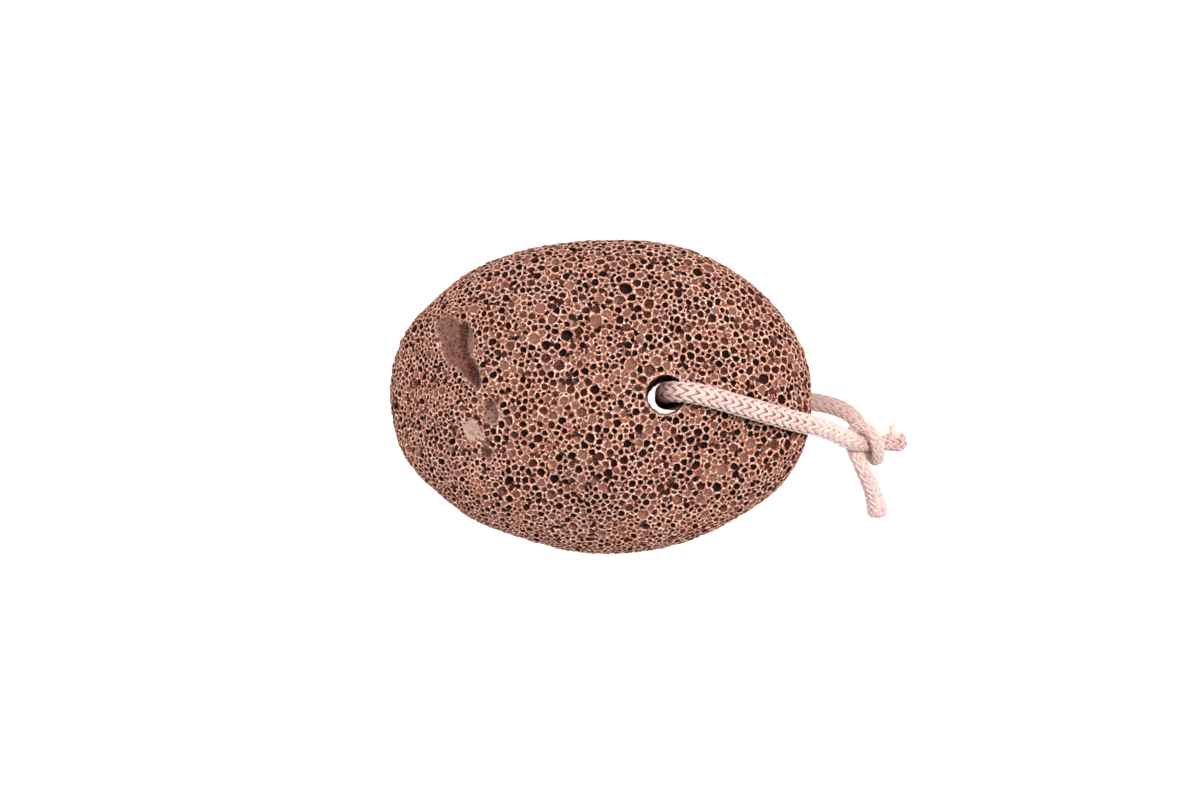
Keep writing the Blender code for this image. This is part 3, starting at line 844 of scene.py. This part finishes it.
class NodeSheet:
    """Adds and links the nodes of one material."""

    def __init__(self, name):
        self.material = bpy.data.materials.new(name)
        self.material.use_nodes = True
        self.tree = self.material.node_tree
        self.shader = self.tree.nodes["Principled BSDF"]

    def node(self, kind, settings=None, **inputs):
        """Adds a node with its settings and the values or links of its inputs."""
        made = self.tree.nodes.new(kind)
        for name, value in (settings or {}).items():
            setattr(made, name, value)
        for name, value in inputs.items():
            self.set(made.inputs[name.replace("_", " ")], value)
        return made

    def set(self, socket, value):
        """Links another node's output to a socket, or gives the socket a number or a colour."""
        if isinstance(value, bpy.types.NodeSocket):
            self.tree.links.new(value, socket)
        else:
            socket.default_value = (*value, 1.0) if isinstance(value, Color) else value

    def math(self, operation, *values):
        """The outcome of one sum, of numbers or other nodes' outputs."""
        made = self.tree.nodes.new("ShaderNodeMath")
        made.operation = operation
        for socket, value in zip(made.inputs, values):
            self.set(socket, value)
        return made.outputs[0]

    def ramp(self, value, *stops):
        """A ramp of colours or greys through (place, colour) stops."""
        made = self.tree.nodes.new("ShaderNodeValToRGB")
        self.set(made.inputs["Fac"], value)
        elements = made.color_ramp.elements
        while len(elements) < len(stops):
            elements.new(0.5)
        for element, (place, colour) in zip(elements, stops):
            element.position = place
            element.color = (*(colour if isinstance(colour, Color) else (colour,) * 3), 1.0)
        return made.outputs["Color"]

    def mix(self, factor, one, two):
        """The first colour, with this share of the second."""
        made = self.node("ShaderNodeMix", {"data_type": "RGBA"})
        for index, value in zip(MIX_INPUTS, (factor, one, two)):
            self.set(made.inputs[index], value)
        return made.outputs[MIX_RESULT]

    def mark(self, name):
        """A value stored on the mesh under that name."""
        return self.node("ShaderNodeAttribute", {"attribute_name": name}).outputs["Fac"]

    def place(self):
        """The place on the object, in metres."""
        return self.node("ShaderNodeTexCoord").outputs["Object"]

    def noise(self, vector, scale, detail=2.0, roughness=0.5):
        made = self.node("ShaderNodeTexNoise", Vector=vector, Scale=scale, Detail=detail, Roughness=roughness)
        return made.outputs["Fac"]

    def cells(self, vector, scale):
        return self.node("ShaderNodeTexVoronoi", Vector=vector, Scale=scale).outputs["Distance"]

    def bump(self, height, distance, strength=1.0):
        made = self.node("ShaderNodeBump", Height=height, Distance=distance, Strength=strength)
        return made.outputs["Normal"]

    def finish(self, colour, normal, roughness):
        """Gives the shader its colour and relief, and returns the material."""
        self.set(self.shader.inputs["Base Color"], colour)
        self.set(self.shader.inputs["Normal"], normal)
        self.shader.inputs["Roughness"].default_value = roughness
        return self.material


def pumice_finish(look):
    """Pale worn walls, pores with painted shade from tan to black, tiny pores in the walls painted dark as
    shade, greyer smooth hollows with painted shade.
    """
    sheet = NodeSheet("pumice")
    place = sheet.place()
    depth, painted_shade, smooth, hollow_tone_and_shade = (sheet.mark(name) for name in STONE_MARKS)

    grit = sheet.noise(place, GRIT_SCALE, 2.0, 0.7)
    patch = sheet.noise(place, PATCH_SCALE, 2.0, 0.5)
    shade_amount = sheet.noise(place, STAIN_SCALE, 3.0, 0.7)
    # Tops of the walls: two tans in patches, with pale crumbs that also serve as painted highlights, and dark
    # specks, redder towards the pores
    rim = sheet.mix(sheet.ramp(patch, (0.35, 0.0), (0.65, 1.0)), look.rim_colour, look.warm_rim_colour)
    rim = sheet.mix(sheet.ramp(grit, (0.52, 0.0), (0.60, 1.0)), rim, look.crumb_and_highlight_colour)
    rim = sheet.mix(sheet.ramp(grit, (0.38, 0.75), (0.46, 0.0)), rim, look.pore_shade_colour)
    rim = sheet.mix(sheet.ramp(depth, (0.12, 0.0), (0.28, 1.0)), rim, look.edge_colour)

    # Pores: painted shade, darker the deeper they are, and pale specks in the shallow ones
    shade_level = sheet.math("MULTIPLY", painted_shade, sheet.math("ADD", sheet.math("MULTIPLY", depth, 0.5), 0.55))
    shade_level = sheet.math("ADD", shade_level, sheet.math("SUBTRACT", shade_amount, 0.5))
    pore = sheet.ramp(shade_level, (0.05, look.shallow_colour), (0.42, look.pore_shade_colour),
                      (0.72, look.deep_shade_colour))
    speck = sheet.math("MULTIPLY", sheet.ramp(grit, (0.54, 0.0), (0.62, 0.5)),
                       sheet.ramp(shade_level, (0.20, 1.0), (0.45, 0.0)))
    pore = sheet.mix(speck, pore, look.warm_rim_colour)
    edge = sheet.math("ADD", depth, sheet.math("MULTIPLY", sheet.math("SUBTRACT", grit, 0.5), 0.12))
    colour = sheet.mix(sheet.ramp(edge, (0.28, 0.0), (0.36, 1.0)), rim, pore)

    # Tiny pores, most of them in the walls, painted dark as the shade inside them
    on_wall = sheet.ramp(depth, (0.10, 1.0), (0.30, 0.3))
    pinhole = sheet.ramp(sheet.cells(place, PINHOLE_SCALE), (0.20, 1.0), (0.38, 0.0))
    pinhole = sheet.math("MULTIPLY", pinhole, on_wall)
    colour = sheet.mix(sheet.math("MULTIPLY", pinhole, 0.95), colour, look.deep_shade_colour)

    # Smooth hollows: a greyer glaze with darker and paler flecks and fine pits; painted shade darkens their
    # middles and valleys, and the fine pits are painted dark as shade
    mottle = sheet.noise(place, MOTTLE_SCALE, 3.0, 0.75)
    fine_pit = sheet.ramp(sheet.cells(place, FINE_PIT_SCALE), (0.17, 1.0), (0.29, 0.0))
    hollow = sheet.ramp(hollow_tone_and_shade, (0.0, look.hollow_shade_and_fleck_colour), (0.45, look.hollow_colour),
                        (1.0, look.pale_hollow_colour))
    hollow = sheet.mix(sheet.ramp(mottle, (0.38, 0.55), (0.50, 0.0)), hollow, look.hollow_shade_and_fleck_colour)
    hollow = sheet.mix(sheet.ramp(grit, (0.50, 0.0), (0.64, 0.30)), hollow, look.warm_rim_colour)
    hollow = sheet.mix(sheet.math("MULTIPLY", fine_pit, 0.90), hollow, look.deep_shade_colour)
    colour = sheet.mix(smooth, colour, hollow)

    pitted = sheet.math("MULTIPLY", sheet.math("MULTIPLY", fine_pit, smooth), 0.5)
    relief = sheet.math("SUBTRACT", sheet.math("MULTIPLY", grit, 0.35), pinhole)
    relief = sheet.math("SUBTRACT", relief, pitted)
    sheet.shader.inputs["Specular IOR Level"].default_value = 0.25
    return sheet.finish(colour, sheet.bump(relief, WALL_RELIEF, 0.9), 0.92)


# ------------------------------------------------------------------ cord

def smooth_route(points, per_span=24):
    """A natural cubic curve through the route's points, read closely."""
    points = np.array(points)
    run = np.concatenate([[0.0], np.cumsum(np.linalg.norm(np.diff(points, axis=0), axis=1))])
    gap = np.diff(run)
    count = len(points)
    system = np.eye(count)
    right = np.zeros((count, 3))
    for i in range(1, count - 1):
        system[i, i - 1:i + 2] = gap[i - 1], 2.0 * (gap[i - 1] + gap[i]), gap[i]
        right[i] = 6.0 * ((points[i + 1] - points[i]) / gap[i] - (points[i] - points[i - 1]) / gap[i - 1])
    bend = np.linalg.solve(system, right)
    curve = []
    for i in range(count - 1):
        for t in np.linspace(0.0, 1.0, per_span, endpoint=False):
            a, b = 1.0 - t, t
            curve.append(a * points[i] + b * points[i + 1] + gap[i] ** 2 / 6.0 * (
                (a ** 3 - a) * bend[i] + (b ** 3 - b) * bend[i + 1]))
    curve.append(points[-1])
    return np.array(curve)


class Route:
    """A curve read at any run along it, with two ways across that turn as little as they can."""

    def __init__(self, curve):
        steps = np.linalg.norm(np.diff(curve, axis=0), axis=1)
        self.run = np.concatenate([[0.0], np.cumsum(steps)])
        self.length = float(self.run[-1])
        self.points = curve
        heading = unit(np.gradient(curve, self.run, axis=0))
        side, _ = tangents(heading[0])
        sides = []
        for way in heading:
            side = unit(side - way * float(side @ way))
            sides.append(side)
        self.side = np.array(sides)
        self.other = np.cross(heading, self.side)
        stretch = np.interp(self.run, *np.transpose(LAY_STRETCH))
        self.lay = np.concatenate([[0.0], np.cumsum(steps / (LAY * stretch[1:]))])

    def read(self, table, run):
        """The table's points or directions at each run."""
        return np.stack([np.interp(run, self.run, table[:, k]) for k in range(3)], axis=-1)

    def at(self, run):
        """Point and the two ways across at each run, and the cord's thickness as a share."""
        thickness = np.interp(run, *np.transpose(CORD_SQUEEZE)) / (0.5 * CORD_DIAMETER)
        return (self.read(self.points, run), unit(self.read(self.side, run)),
                unit(self.read(self.other, run)), thickness)


# Marks of the cord's mesh: runs along and round a yarn, its lift over the others, its number, the painted
# shade on it in the hole and under the stone, and how far the stitches are parted, which also scales the
# painted shade between them
YARN_MARKS = ("along", "around", "lift", "yarn", "shade_amount", "parted")


class CordMesh:
    """Vertices, faces and marks of the braid as its yarns are added."""

    def __init__(self):
        self.points = []
        self.faces = []
        self.marks = []
        self.count = 0
        self.core_from = None

    def tube(self, centres, across, out, half_width, half_thickness, shape, lift, yarn, along):
        """A closed tube along the centres, which follow the cord at the given runs if any."""
        count = len(centres)
        sides = len(shape)
        wide, thick = np.array(shape).T
        section = (
            wide[None, :, None] * across[:, None] * half_width[:, None, None]
            + thick[None, :, None] * out[:, None] * half_thickness[:, None, None])
        ring = centres[:, None] + section
        step = np.linalg.norm(np.diff(centres, axis=0), axis=1)
        run = np.concatenate([[0.0], np.cumsum(step)])
        first = self.count
        self.points.append(ring.reshape(-1, 3))
        self.points.append(centres[[0, -1]])
        marks = np.zeros((count, sides, len(YARN_MARKS)))
        marks[..., 0] = run[:, None] / MM
        marks[..., 1] = np.arange(sides)[None] / sides
        marks[..., 2] = lift[:, None]
        marks[..., 3] = yarn
        if along is not None:
            marks[..., 4] = np.interp(along, *np.transpose(CORD_PAINTED_SHADE))[:, None]
            marks[..., 5] = np.interp(along, *np.transpose(CORD_OPEN))[:, None]
        self.marks.append(marks.reshape(-1, len(YARN_MARKS)))
        self.marks.append(marks[[0, -1], 0])
        for i in range(count - 1):
            row = first + i * sides
            for k in range(sides):
                n = (k + 1) % sides
                self.faces.append((row + k, row + sides + k, row + sides + n, row + n))
        start, end = first + count * sides, first + count * sides + 1
        last = first + (count - 1) * sides
        for k in range(sides):
            n = (k + 1) % sides
            self.faces.append((start, first + k, first + n))
            self.faces.append((end, last + n, last + k))
        self.count += count * sides + 2


def round_section(sides):
    """Corners of a round section, from its underside on."""
    turns = 2.0 * math.pi * np.arange(sides) / sides - 0.5 * math.pi
    return np.stack([np.cos(turns), np.sin(turns)], axis=1)


def wander(run, draw):
    """A slow uneven drift between about -1 and 1 along the cord."""
    drift = np.zeros(len(run))
    for length in DRIFT_LENGTHS:
        drift += np.sin(2.0 * math.pi * (run / length + draw.random()))
    return drift / 2.0


def closing_at(run, length):
    """How much of its width a cord of this length keeps at a run, as its two ends close in."""
    to_end = np.minimum(run, length - run)
    return np.sqrt(1.0 - np.clip(1.0 - to_end / END_ROUNDING, 0.0, MOST_ROUNDED) ** 2)


def add_yarns(braid, route, draw):
    """The yarns of the braid, each over two and under two, spread a little at the cut ends."""
    for way in (1, -1):
        for yarn in range(YARNS_EACH_WAY):
            start = FRAY_TRIM * draw.random()
            end = route.length - FRAY_TRIM * draw.random()
            run = np.linspace(start, end, int((end - start) / BRAID_STEP))
            point, side, other, thickness = route.at(run)
            turn = 2.0 * math.pi * (yarn / YARNS_EACH_WAY + way * np.interp(run, route.run, route.lay))
            wave = way * np.clip(WAVE_SHARPNESS * np.cos(0.5 * YARNS_EACH_WAY * turn), -1.0, 1.0)
            turn = turn + YARN_DRIFT * 2.0 * math.pi / YARNS_EACH_WAY * wander(run, draw)
            to_end = np.minimum(run, route.length - run)
            fray = np.clip(1.0 - to_end / FRAY_LENGTH, 0.0, 1.0) ** 2
            closing = closing_at(run, route.length)
            parted = np.interp(run, *np.transpose(CORD_OPEN))
            dip = YARN_WAVE * (CLOSED_WAVE + (1.0 - CLOSED_WAVE) * parted)
            spread = FRAY_SPREAD * fray * draw.uniform(FRAY_LEAST, 1.0)
            radius = ((YARN_MIDDLE + dip * wave) * thickness + spread) * closing
            out = np.cos(turn)[:, None] * side + np.sin(turn)[:, None] * other
            centre = point + radius[:, None] * out
            across = unit(np.cross(np.gradient(centre, axis=0), out))
            uneven = 1.0 - RISEN_NARROWER * wave + YARN_SPREAD * wander(run, draw)
            width = 0.5 * YARN_WIDTH * thickness * uneven
            width = width * (END_WIDTH + (1.0 - END_WIDTH) * closing)
            thick = 0.5 * YARN_THICKNESS * thickness * (1.0 + FRAY_SWELL * fray)
            braid.tube(centre, across, unit(np.cross(across, np.gradient(centre, axis=0))), width, thick,
                       YARN_SECTION, wave, yarn + way * 0.25, run)


def add_core(braid, route):
    """The inside of the braid, painted dark as the shade between the yarns, rounded at its ends."""
    run = np.linspace(FRAY_TRIM, route.length - FRAY_TRIM, int(route.length / BRAID_STEP / 2))
    point, side, other, thickness = route.at(run)
    radius = CORE_RADIUS * thickness * closing_at(run - FRAY_TRIM, route.length - 2.0 * FRAY_TRIM)
    braid.core_from = len(braid.faces)
    braid.tube(point, side, other, radius, radius,
               round_section(CORE_SIDES), np.full(len(run), -1.0), 0.0, run)


def add_strand(braid, points, radius, yarn):
    """A free strand of a yarn or a fibre through a few points."""
    strand = Route(smooth_route(points, 4))
    run = np.linspace(0.0, strand.length, 2 + int(strand.length / BRAID_STEP))
    centre = strand.read(strand.points, run)
    taper = radius * (1.0 - 0.5 * (run / strand.length) ** 3)
    braid.tube(centre, strand.read(strand.side, run), strand.read(strand.other, run), taper, taper,
               round_section(STRAND_SIDES), np.full(len(run), 0.6), yarn, None)


def add_fray(braid, route, draw):
    """Loose fibres that stand out of the two cut ends."""
    for end, way in ((0.0, -1.0), (route.length, 1.0)):
        point, side, other, _ = route.at(np.array([end]))
        heading = way * np.cross(side[0], other[0])
        for _ in range(FIBRES // 2):
            turn = draw.uniform(0.0, 2.0 * math.pi)
            out = math.cos(turn) * side[0] + math.sin(turn) * other[0]
            root = point[0] + 0.5 * CORD_DIAMETER * math.sqrt(draw.random()) * FIBRE_SPREAD * out
            root = root - FIBRE_ROOT * heading
            reach = FIBRE_REACH * draw.uniform(0.3, 1.0)
            bent = draw.normal(size=3) * FIBRE_BEND
            middle = root + heading * (FIBRE_ROOT + 0.4 * reach) + out * 0.1 * reach
            tip = root + heading * (FIBRE_ROOT + reach) + out * 0.35 * reach + bent
            tip[2] = max(tip[2], FIBRE_RADIUS)
            add_strand(braid, (root, middle, tip), FIBRE_RADIUS, 0.5)


def add_cut_yarns(braid, route, draw):
    """The cut yarns of the core, which fill the middle of the two ends."""
    for end, way in ((0.0, -1.0), (route.length, 1.0)):
        point, side, other, _ = route.at(np.array([end]))
        heading = way * np.cross(side[0], other[0])
        for number in range(CUT_YARNS):
            turn = 2.0 * math.pi * number / GOLDEN_RATIO
            out = math.cos(turn) * side[0] + math.sin(turn) * other[0]
            root = point[0] + CUT_SPREAD * math.sqrt((number + 0.5) / CUT_YARNS) * out - CUT_DEPTH * heading
            tip = root + (CUT_DEPTH - draw.uniform(*CUT_SHORT)) * heading
            add_strand(braid, (root, 0.5 * (root + tip), tip), CUT_YARN_RADIUS, number)


def yarn_finish(look):
    """Pale cotton: fine fibres along each yarn, with painted shade, redder, where it dips under the others
    and between the stitches.
    """
    sheet = NodeSheet("braided cotton")
    along, around, lift, yarn, shade_amount, parted = (sheet.mark(name) for name in YARN_MARKS)
    # Fibres lie along the yarn and wind round it slowly
    twisted = sheet.math("ADD", sheet.math("MULTIPLY", around, 9.0), sheet.math("MULTIPLY", along, 1.1))
    fibre_place = sheet.node("ShaderNodeCombineXYZ")
    for socket, value in zip(fibre_place.inputs, (twisted, sheet.math("MULTIPLY", along, 0.7), yarn)):
        sheet.set(socket, value)
    fibre = sheet.noise(fibre_place.outputs[0], 1.6, 2.0, 0.6)
    patch = sheet.noise(sheet.place(), BLUSH_SCALE, 2.0, 0.5)
    fleck = sheet.noise(sheet.place(), STAIN_SCALE, 2.0, 0.7)
    colour = sheet.mix(sheet.ramp(patch, (0.35, 0.0), (0.70, 0.8)), look.yarn_colour, look.pink_colour)
    colour = sheet.mix(sheet.ramp(fleck, (0.40, 0.32), (0.50, 0.0)), colour, look.gap_colour)
    colour = sheet.mix(sheet.ramp(fibre, (0.30, 0.55), (0.60, 0.0)), colour, look.pink_colour)
    # Shade on the yarn's flanks, between its two strands and where it dips under the others
    from_middle = sheet.math("ABSOLUTE", sheet.math("SUBTRACT", around, 0.5))
    flank = sheet.math("MULTIPLY", sheet.ramp(from_middle, (0.17, 0.0), (0.25, 0.9)), parted)
    colour = sheet.mix(flank, colour, look.gap_colour)
    colour = sheet.mix(sheet.ramp(from_middle, (0.02, 0.40), (0.08, 0.0)), colour, look.gap_colour)
    low = sheet.ramp(sheet.math("ADD", sheet.math("MULTIPLY", lift, 0.5), 0.5), (0.0, 0.9), (0.55, 0.0))
    low = sheet.math("MULTIPLY", low, sheet.math("ADD", sheet.math("MULTIPLY", parted, 0.65), 0.30))
    colour = sheet.mix(low, colour, look.gap_colour)
    # Painted shade on the cord inside the hole and under the stone
    colour = sheet.mix(shade_amount, colour, look.hole_shade_colour)
    sheet.shader.inputs["Specular IOR Level"].default_value = 0.2
    sheet.shader.inputs["Sheen Weight"].default_value = 0.15
    sheet.shader.inputs["Sheen Roughness"].default_value = 0.5
    return sheet.finish(colour, sheet.bump(fibre, FIBRE_RELIEF, 0.8), 0.85)


def core_shade_finish(look):
    """The inside of the braid, painted dark as the shade that shows between the yarns."""
    sheet = NodeSheet("braid core")
    fleck = sheet.noise(sheet.place(), CORE_SCALE, 2.0, 0.6)
    colour = sheet.mix(fleck, look.gap_colour, look.gap_colour * 0.4)
    return sheet.finish(colour, sheet.bump(fleck, CORE_RELIEF), 0.95)


# ------------------------------------------------------------------ settings

COLOUR = {"subtype": "COLOR", "size": 3, "min": 0.0, "max": 1.0}


class PUMICE_PG_stone(bpy.types.PropertyGroup):
    """Colours of the stone."""
    rim_colour: FloatVectorProperty(
        name="Pore rims", description="Worn tops of the walls between pores",
        default=linear(206, 157, 138), **COLOUR)
    warm_rim_colour: FloatVectorProperty(
        name="Warm rims", description="The same tops where the stone is more orange",
        default=linear(203, 143, 116), **COLOUR)
    # Pale crumbs on the wall tops, which also serve as painted highlights
    crumb_and_highlight_colour: FloatVectorProperty(
        name="Crumbs", description="Pale specks on the tops of the walls",
        default=linear(250, 224, 208), **COLOUR)
    edge_colour: FloatVectorProperty(
        name="Pore edges", description="Redder edges of the pores",
        default=linear(180, 106, 84), **COLOUR)
    # Floors of the shallowest pores, with the least painted shade
    shallow_colour: FloatVectorProperty(
        name="Shallow pores", description="Floors of the shallowest pores",
        default=linear(134, 92, 78), **COLOUR)
    # Painted shade on the floors of pores of middling depth, also used for dark specks on the walls
    pore_shade_colour: FloatVectorProperty(
        name="Pore floors", description="Floors of pores of middling depth",
        default=linear(74, 38, 32), **COLOUR)
    # Painted shade on the floors of the deepest pores and in the tiny pits
    deep_shade_colour: FloatVectorProperty(
        name="Deep pores", description="Floors of the deepest pores",
        default=linear(22, 7, 7), **COLOUR)
    hollow_colour: FloatVectorProperty(
        name="Smooth hollows", description="The greyer glaze inside the worn hollows",
        default=linear(110, 64, 56), **COLOUR)
    # Painted shade along the valleys of the hollows, also used for their darker flecks
    hollow_shade_and_fleck_colour: FloatVectorProperty(
        name="Hollow streaks", description="The darkest valleys inside the hollows",
        default=linear(54, 30, 25), **COLOUR)
    pale_hollow_colour: FloatVectorProperty(
        name="Pale patch", description="The palest of the smooth patches",
        default=linear(192, 158, 142), **COLOUR)


class PUMICE_PG_cord(bpy.types.PropertyGroup):
    """Size and colours of the cord."""
    diameter: FloatProperty(
        name="Diameter", description="Thickness of the cord where it isn't squeezed in its knot",
        unit="LENGTH", min=0.001, max=0.02, default=CORD_DIAMETER)
    yarn_colour: FloatVectorProperty(
        name="Yarn", description="Cotton on the outside of the braid",
        default=linear(255, 238, 229), **COLOUR)
    pink_colour: FloatVectorProperty(
        name="Pinker yarn", description="Cotton that has taken some of the stone's colour",
        default=linear(245, 209, 202), **COLOUR)
    # Painted shade on the yarn inside the hole and under the stone
    hole_shade_colour: FloatVectorProperty(
        name="Dust", description="Dust of the stone on the yarn where it lies in the hole",
        default=linear(128, 72, 58), **COLOUR)
    gap_colour: FloatVectorProperty(
        name="Gaps", description="Shaded yarn between the stitches",
        default=linear(150, 72, 60), **COLOUR)


class PUMICE_PG_studio(bpy.types.PropertyGroup):
    """Camera, floor and lights."""
    camera_lens: FloatProperty(
        name="Lens", description="Focal length of the camera",
        unit="CAMERA", min=10.0, max=300.0, default=CAMERA_LENS)
    key_power: FloatProperty(
        name="Key light", description="Power of the large soft light above, a little to the right",
        unit="POWER", min=0.0, max=100.0, default=4.6)
    side_power: FloatProperty(
        name="Side light", description="Power of the small light low on the left",
        unit="POWER", min=0.0, max=100.0, default=0.32)
    fill: FloatProperty(
        name="Fill", description="Even light from all round", min=0.0, max=5.0, default=0.41)
    floor_colour: FloatVectorProperty(
        name="Floor", description="Plain pale floor",
        default=(0.50, 0.50, 0.50), **COLOUR)
    floor_glow: FloatProperty(
        name="Floor glow", description="Light that the floor gives off by itself",
        min=0.0, max=2.0, default=0.93)


# ------------------------------------------------------------------ operators

def link(name, data):
    """A new object in the scene that shows this data."""
    made = bpy.data.objects.new(name, data)
    bpy.context.collection.objects.link(made)
    return made


def store(mesh, name, values):
    """Keeps one value for each vertex under a name that a material reads."""
    mesh.attributes.new(name, "FLOAT", "POINT").data.foreach_set("value", np.asarray(values, np.float32))


class PUMICE_OT_add_studio(bpy.types.Operator):
    """Add the camera, the floor and the lights"""
    bl_idname = "pumice.add_studio"
    bl_label = "Add Studio"

    def execute(self, context):
        look = context.scene.pumice_studio
        lens = bpy.data.cameras.new("camera")
        lens.lens = look.camera_lens
        lens.sensor_width = 36.0
        lens.clip_start = 0.01
        camera = link("camera", lens)
        camera.location = CAMERA_PLACE
        context.scene.camera = camera

        floor = bpy.data.meshes.new("floor")
        half = 0.5 * FLOOR_SIZE
        floor.from_pydata([(-half, -half, 0.0), (half, -half, 0.0), (half, half, 0.0), (-half, half, 0.0)],
                          [], [(0, 1, 2, 3)])
        sheet = NodeSheet("floor")
        sheet.shader.inputs["Base Color"].default_value = (*look.floor_colour, 1.0)
        sheet.shader.inputs["Roughness"].default_value = 0.9
        sheet.shader.inputs["Emission Color"].default_value = (*WHITE, 1.0)
        sheet.shader.inputs["Emission Strength"].default_value = look.floor_glow
        floor.materials.append(sheet.material)
        link("floor", floor)

        for name, place, size, power in (
                ("key", KEY_PLACE, KEY_SIZE, look.key_power),
                ("side light", SIDE_PLACE, SIDE_SIZE, look.side_power)):
            light = bpy.data.lights.new(name, "AREA")
            light.shape = "DISK"
            light.size = size
            light.energy = power
            lamp = link(name, light)
            lamp.location = place
            lamp.rotation_euler = (Vector(LIGHT_AIM) - Vector(place)).to_track_quat("-Z", "Y").to_euler()

        world = bpy.data.worlds.new("studio")
        world.use_nodes = True
        background = world.node_tree.nodes["Background"]
        background.inputs["Color"].default_value = (*WHITE, 1.0)
        # The camera sees the surroundings as white as the floor, whatever light they give
        rays = world.node_tree.nodes.new("ShaderNodeLightPath")
        strength = world.node_tree.nodes.new("ShaderNodeMath")
        strength.operation = "MAXIMUM"
        world.node_tree.links.new(strength.inputs[0], rays.outputs["Is Camera Ray"])
        strength.inputs[1].default_value = look.fill
        world.node_tree.links.new(background.inputs["Strength"], strength.outputs[0])
        context.scene.world = world
        context.scene.view_settings.view_transform = "Standard"
        return {"FINISHED"}


class PUMICE_OT_add_cord(bpy.types.Operator):
    """Add the braided cord with its half knot"""
    bl_idname = "pumice.add_cord"
    bl_label = "Add Cord"

    def execute(self, context):
        look = context.scene.pumice_cord
        route = Route(smooth_route(CORD_ROUTE))
        draw = np.random.default_rng(SEED + 2)
        braid = CordMesh()
        add_yarns(braid, route, draw)
        for loose in LOOSE_YARNS:
            add_strand(braid, loose, LOOSE_RADIUS, 0.3)
        add_fray(braid, route, draw)
        add_cut_yarns(braid, route, draw)
        add_core(braid, route)
        mesh = bpy.data.meshes.new("braided_cord")
        points = np.concatenate(braid.points)
        points[:, 2] = np.maximum(points[:, 2], 0.0)
        mesh.from_pydata(points.tolist(), [], braid.faces)
        mesh.materials.append(yarn_finish(look))
        mesh.materials.append(core_shade_finish(look))
        indices = np.zeros(len(braid.faces), np.int32)
        indices[braid.core_from:] = 1
        mesh.polygons.foreach_set("material_index", indices)
        marks = np.concatenate(braid.marks)
        for name, values in zip(YARN_MARKS, marks.T):
            store(mesh, name, values)
        mesh.shade_smooth()
        cord = link("braided_cord", mesh)
        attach(cord, BODY)
        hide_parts(CORD_NODE)
        return {"FINISHED"}


class PUMICE_OT_add_stone(bpy.types.Operator):
    """Add the pored stone with its drilled hole"""
    bl_idname = "pumice.add_stone"
    bl_label = "Add Stone"

    def execute(self, context):
        points, faces, marks = pored_stone()
        mesh = bpy.data.meshes.new("pored_stone")
        mesh.from_pydata((points * MM).tolist(), [], faces)
        for name, values in zip(STONE_MARKS, (*marks.T, *hollow_marks(points))):
            store(mesh, name, values)
        mesh.shade_smooth()
        mesh.set_sharp_from_angle(angle=math.radians(SHARP_DEGREES))
        mesh.materials.append(pumice_finish(context.scene.pumice_stone))
        stone = link("pored_stone", mesh)
        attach(stone, BODY)
        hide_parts(STONE_NODE)
        return {"FINISHED"}


class PUMICE_PT_sidebar(bpy.types.Panel):
    """Lists the pieces and their settings"""
    bl_idname = "PUMICE_PT_sidebar"
    bl_label = "Pumice Foot Stone"
    bl_space_type = "VIEW_3D"
    bl_region_type = "UI"
    bl_category = "Pumice"

    def draw(self, context):
        scene = context.scene
        for title, settings, operator in (
                ("Studio", scene.pumice_studio, PUMICE_OT_add_studio),
                ("Cord", scene.pumice_cord, PUMICE_OT_add_cord),
                ("Stone", scene.pumice_stone, PUMICE_OT_add_stone)):
            box = self.layout.box()
            box.label(text=title)
            for name in settings.__annotations__:
                box.prop(settings, name)
            box.operator(operator.bl_idname)


CLASSES = (
    PUMICE_PG_stone, PUMICE_PG_cord, PUMICE_PG_studio,
    PUMICE_OT_add_studio, PUMICE_OT_add_cord, PUMICE_OT_add_stone, PUMICE_PT_sidebar)
SETTINGS = (
    ("pumice_stone", PUMICE_PG_stone), ("pumice_cord", PUMICE_PG_cord), ("pumice_studio", PUMICE_PG_studio))


def register():
    for made in CLASSES:
        bpy.utils.register_class(made)
    for name, group in SETTINGS:
        setattr(bpy.types.Scene, name, PointerProperty(type=group))


def unregister():
    for name, _ in SETTINGS:
        delattr(bpy.types.Scene, name)
    for made in reversed(CLASSES):
        bpy.utils.unregister_class(made)


def main():
    register()
    bpy.ops.pumice.add_studio()
    bpy.ops.pumice.add_cord()
    bpy.ops.pumice.add_stone()


if __name__ == "__main__":
    main()
